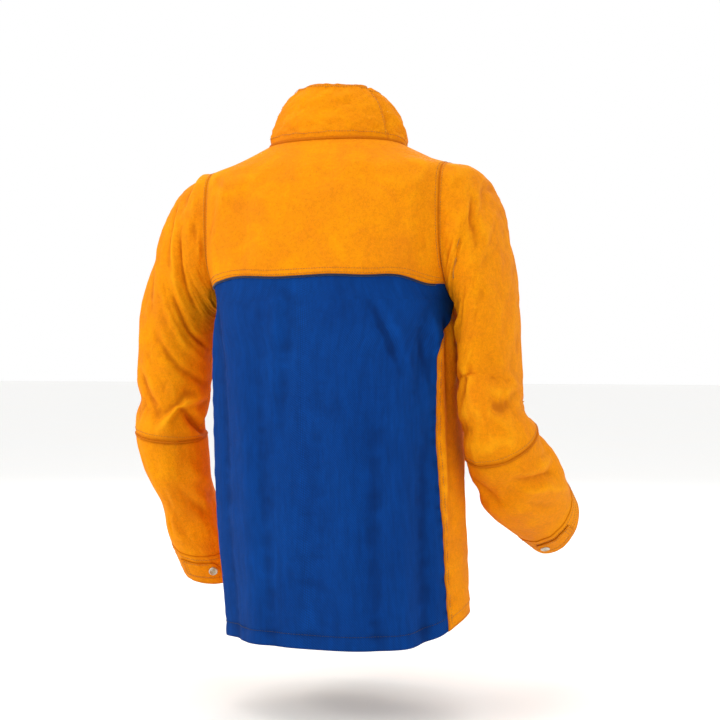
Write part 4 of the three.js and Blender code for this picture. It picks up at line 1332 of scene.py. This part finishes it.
def turnedPart(name, radius, height, steps):
    # a disc raised and sunk ring by ring: each step is (inset, rise)
    bpy.ops.object.select_all(action="DESELECT")
    bpy.ops.mesh.primitive_cylinder_add(vertices=36, radius=radius * mm, depth=height * mm,
                                        location=(0, 0, height * mm / 2))
    part = bpy.context.object
    part.name = part.data.name = name
    bpy.ops.object.transform_apply(location=True, rotation=False, scale=False)
    bpy.ops.object.mode_set(mode="EDIT")
    bpy.ops.mesh.select_all(action="DESELECT")
    bpy.ops.mesh.select_mode(type="FACE")
    pickTopFace(part)
    for inset, rise in steps:
        bpy.ops.mesh.inset(thickness=inset * mm, depth=0)
        bpy.ops.transform.translate(value=(0, 0, rise * mm))
    bpy.ops.object.mode_set(mode="OBJECT")
    bevel = part.modifiers.new("edge", "BEVEL")
    bevel.width, bevel.segments, bevel.limit_method = 0.28 * mm, 3, "ANGLE"
    applyModifiers(part)
    part.data.shade_smooth()
    part.data.materials.append(finish["nickel"])
    return part


capPattern = turnedPart("snapCapPattern", snap["radius"], 0.9,
                        ((0.5, 0.5), (0.6, 0.35), (0.7, 0.05), (0.5, -snap["dish"]), (1.2, -0.12), (1.4,
                                                                                                    0.05)))
studPattern = turnedPart("snapStudPattern", snap["studRadius"], 0.35,
                         ((0.7, 0.12), (0.6, -0.1), (0.5, 0.0), (0.25, 0.55), (0.3, 0.2), (0.7, -0.08)))


def placeSnap(name, pattern, placed, body, node):
    (point, normal) = (value[0] for value in placed)
    part = bpy.data.objects.new(name, pattern.data.copy())
    part.data.name = name
    bpy.context.scene.collection.objects.link(part)
    turn = Vector(normal).to_track_quat("Z", "X").to_matrix().to_4x4()
    part.data.transform(Matrix.Translation(Vector(point) * mm) @ turn)
    attach(part, body, [node])


for k in range(snap["count"]):
    down = np.array([snap["first"] + (snap["last"] - snap["first"]) * k / (snap["count"] - 1)])
    placeSnap(f"snapCap{k + 1}", capPattern, onBody(np.array([180.0]), down, stack["leftFront"] + 0.1),
              "left_opening", f"snap_cap_{k + 1}")
    placeSnap(f"snapStud{k + 1}", studPattern, onBody(np.array([180.0]), down, stack["rightPlacket"] + 0.1),
              "right_opening", f"snap_stud_{k + 1}")
for placed, body, node, name in cuffSnaps:
    placeSnap(name, capPattern, placed, body, node)
for pattern in (capPattern, studPattern):
    bpy.data.objects.remove(pattern)
print("snaps made")


# Hang loop and blank label inside the back of the neck
loop = {"span": 62, "standOff": 9, "band": 10, "thickness": 1.8, "top": 4, "flat": (0.07, 0.011)}
label = {"halfAngle": 3, "top": 78, "bottom": 110, "thickness": 0.5, "flat": (0.038, 0.033)}


def makeLoop():
    u, v = np.meshgrid(np.linspace(0, 1, 60), np.linspace(0, 1, 9))
    x = loop["span"] * (u - 0.5)
    wide = along(jacket["halfWidths"], loop["top"]) - 1.4
    deep = along(jacket["halfDepths"], loop["top"]) - 1.8
    bow = np.minimum(1, 2.2 * np.sin(np.pi * u)) * loop["standOff"]
    y = deep * np.sqrt(1 - (x / wide) ** 2) - bow - 2.4 + 0.25 * np.cos(v * 2 * np.pi)
    points = np.stack([x, y, -loop["top"] - loop["band"] * v], -1)
    strap = clothPiece("hangLoop", points, 1, False, loop["thickness"], ["drill"], {"rim": 0.8})
    attach(strap, "torso", ["hang_loop"])
    rows = []
    inwards = np.array([0.0, -1.0, 0.0])
    for place in (4, 6, 54, 56):
        line = points[1:-1, place] + np.array([0, -0.1 - loop["thickness"], 0])
        rows.append((line, np.broadcast_to(inwards, line.shape)))
    seam = stitches("hangLoopStitching", rows, "torso", "darkThread")


def makeLabel():
    half = label["halfAngle"]
    angle, depth = np.meshgrid(np.linspace(-half, half, 26), np.linspace(label["top"], label["bottom"], 22))
    sag = 0.5 * np.sin(np.pi * (depth - label["top"]) / (label["bottom"] - label["top"]))
    points, _ = onBody(angle, depth, -2.4 - sag)
    patch = clothPiece("sizeLabel", points, 1, False, label["thickness"], ["tape"], {"rim": 0.8})
    attach(patch, "torso", ["size_label"])
    line = np.linspace(-half * 0.93, half * 0.93, 40)
    rows = []
    for down in (label["top"] + 1.6, label["bottom"] - 1.6):
        points, normal = onBody(line, down + 0 * line, -3.1)
        rows.append((points, -normal))
    seam = stitches("sizeLabelStitching", rows, "torso", "darkThread")


makeLoop()
makeLabel()
print("loop and label made")
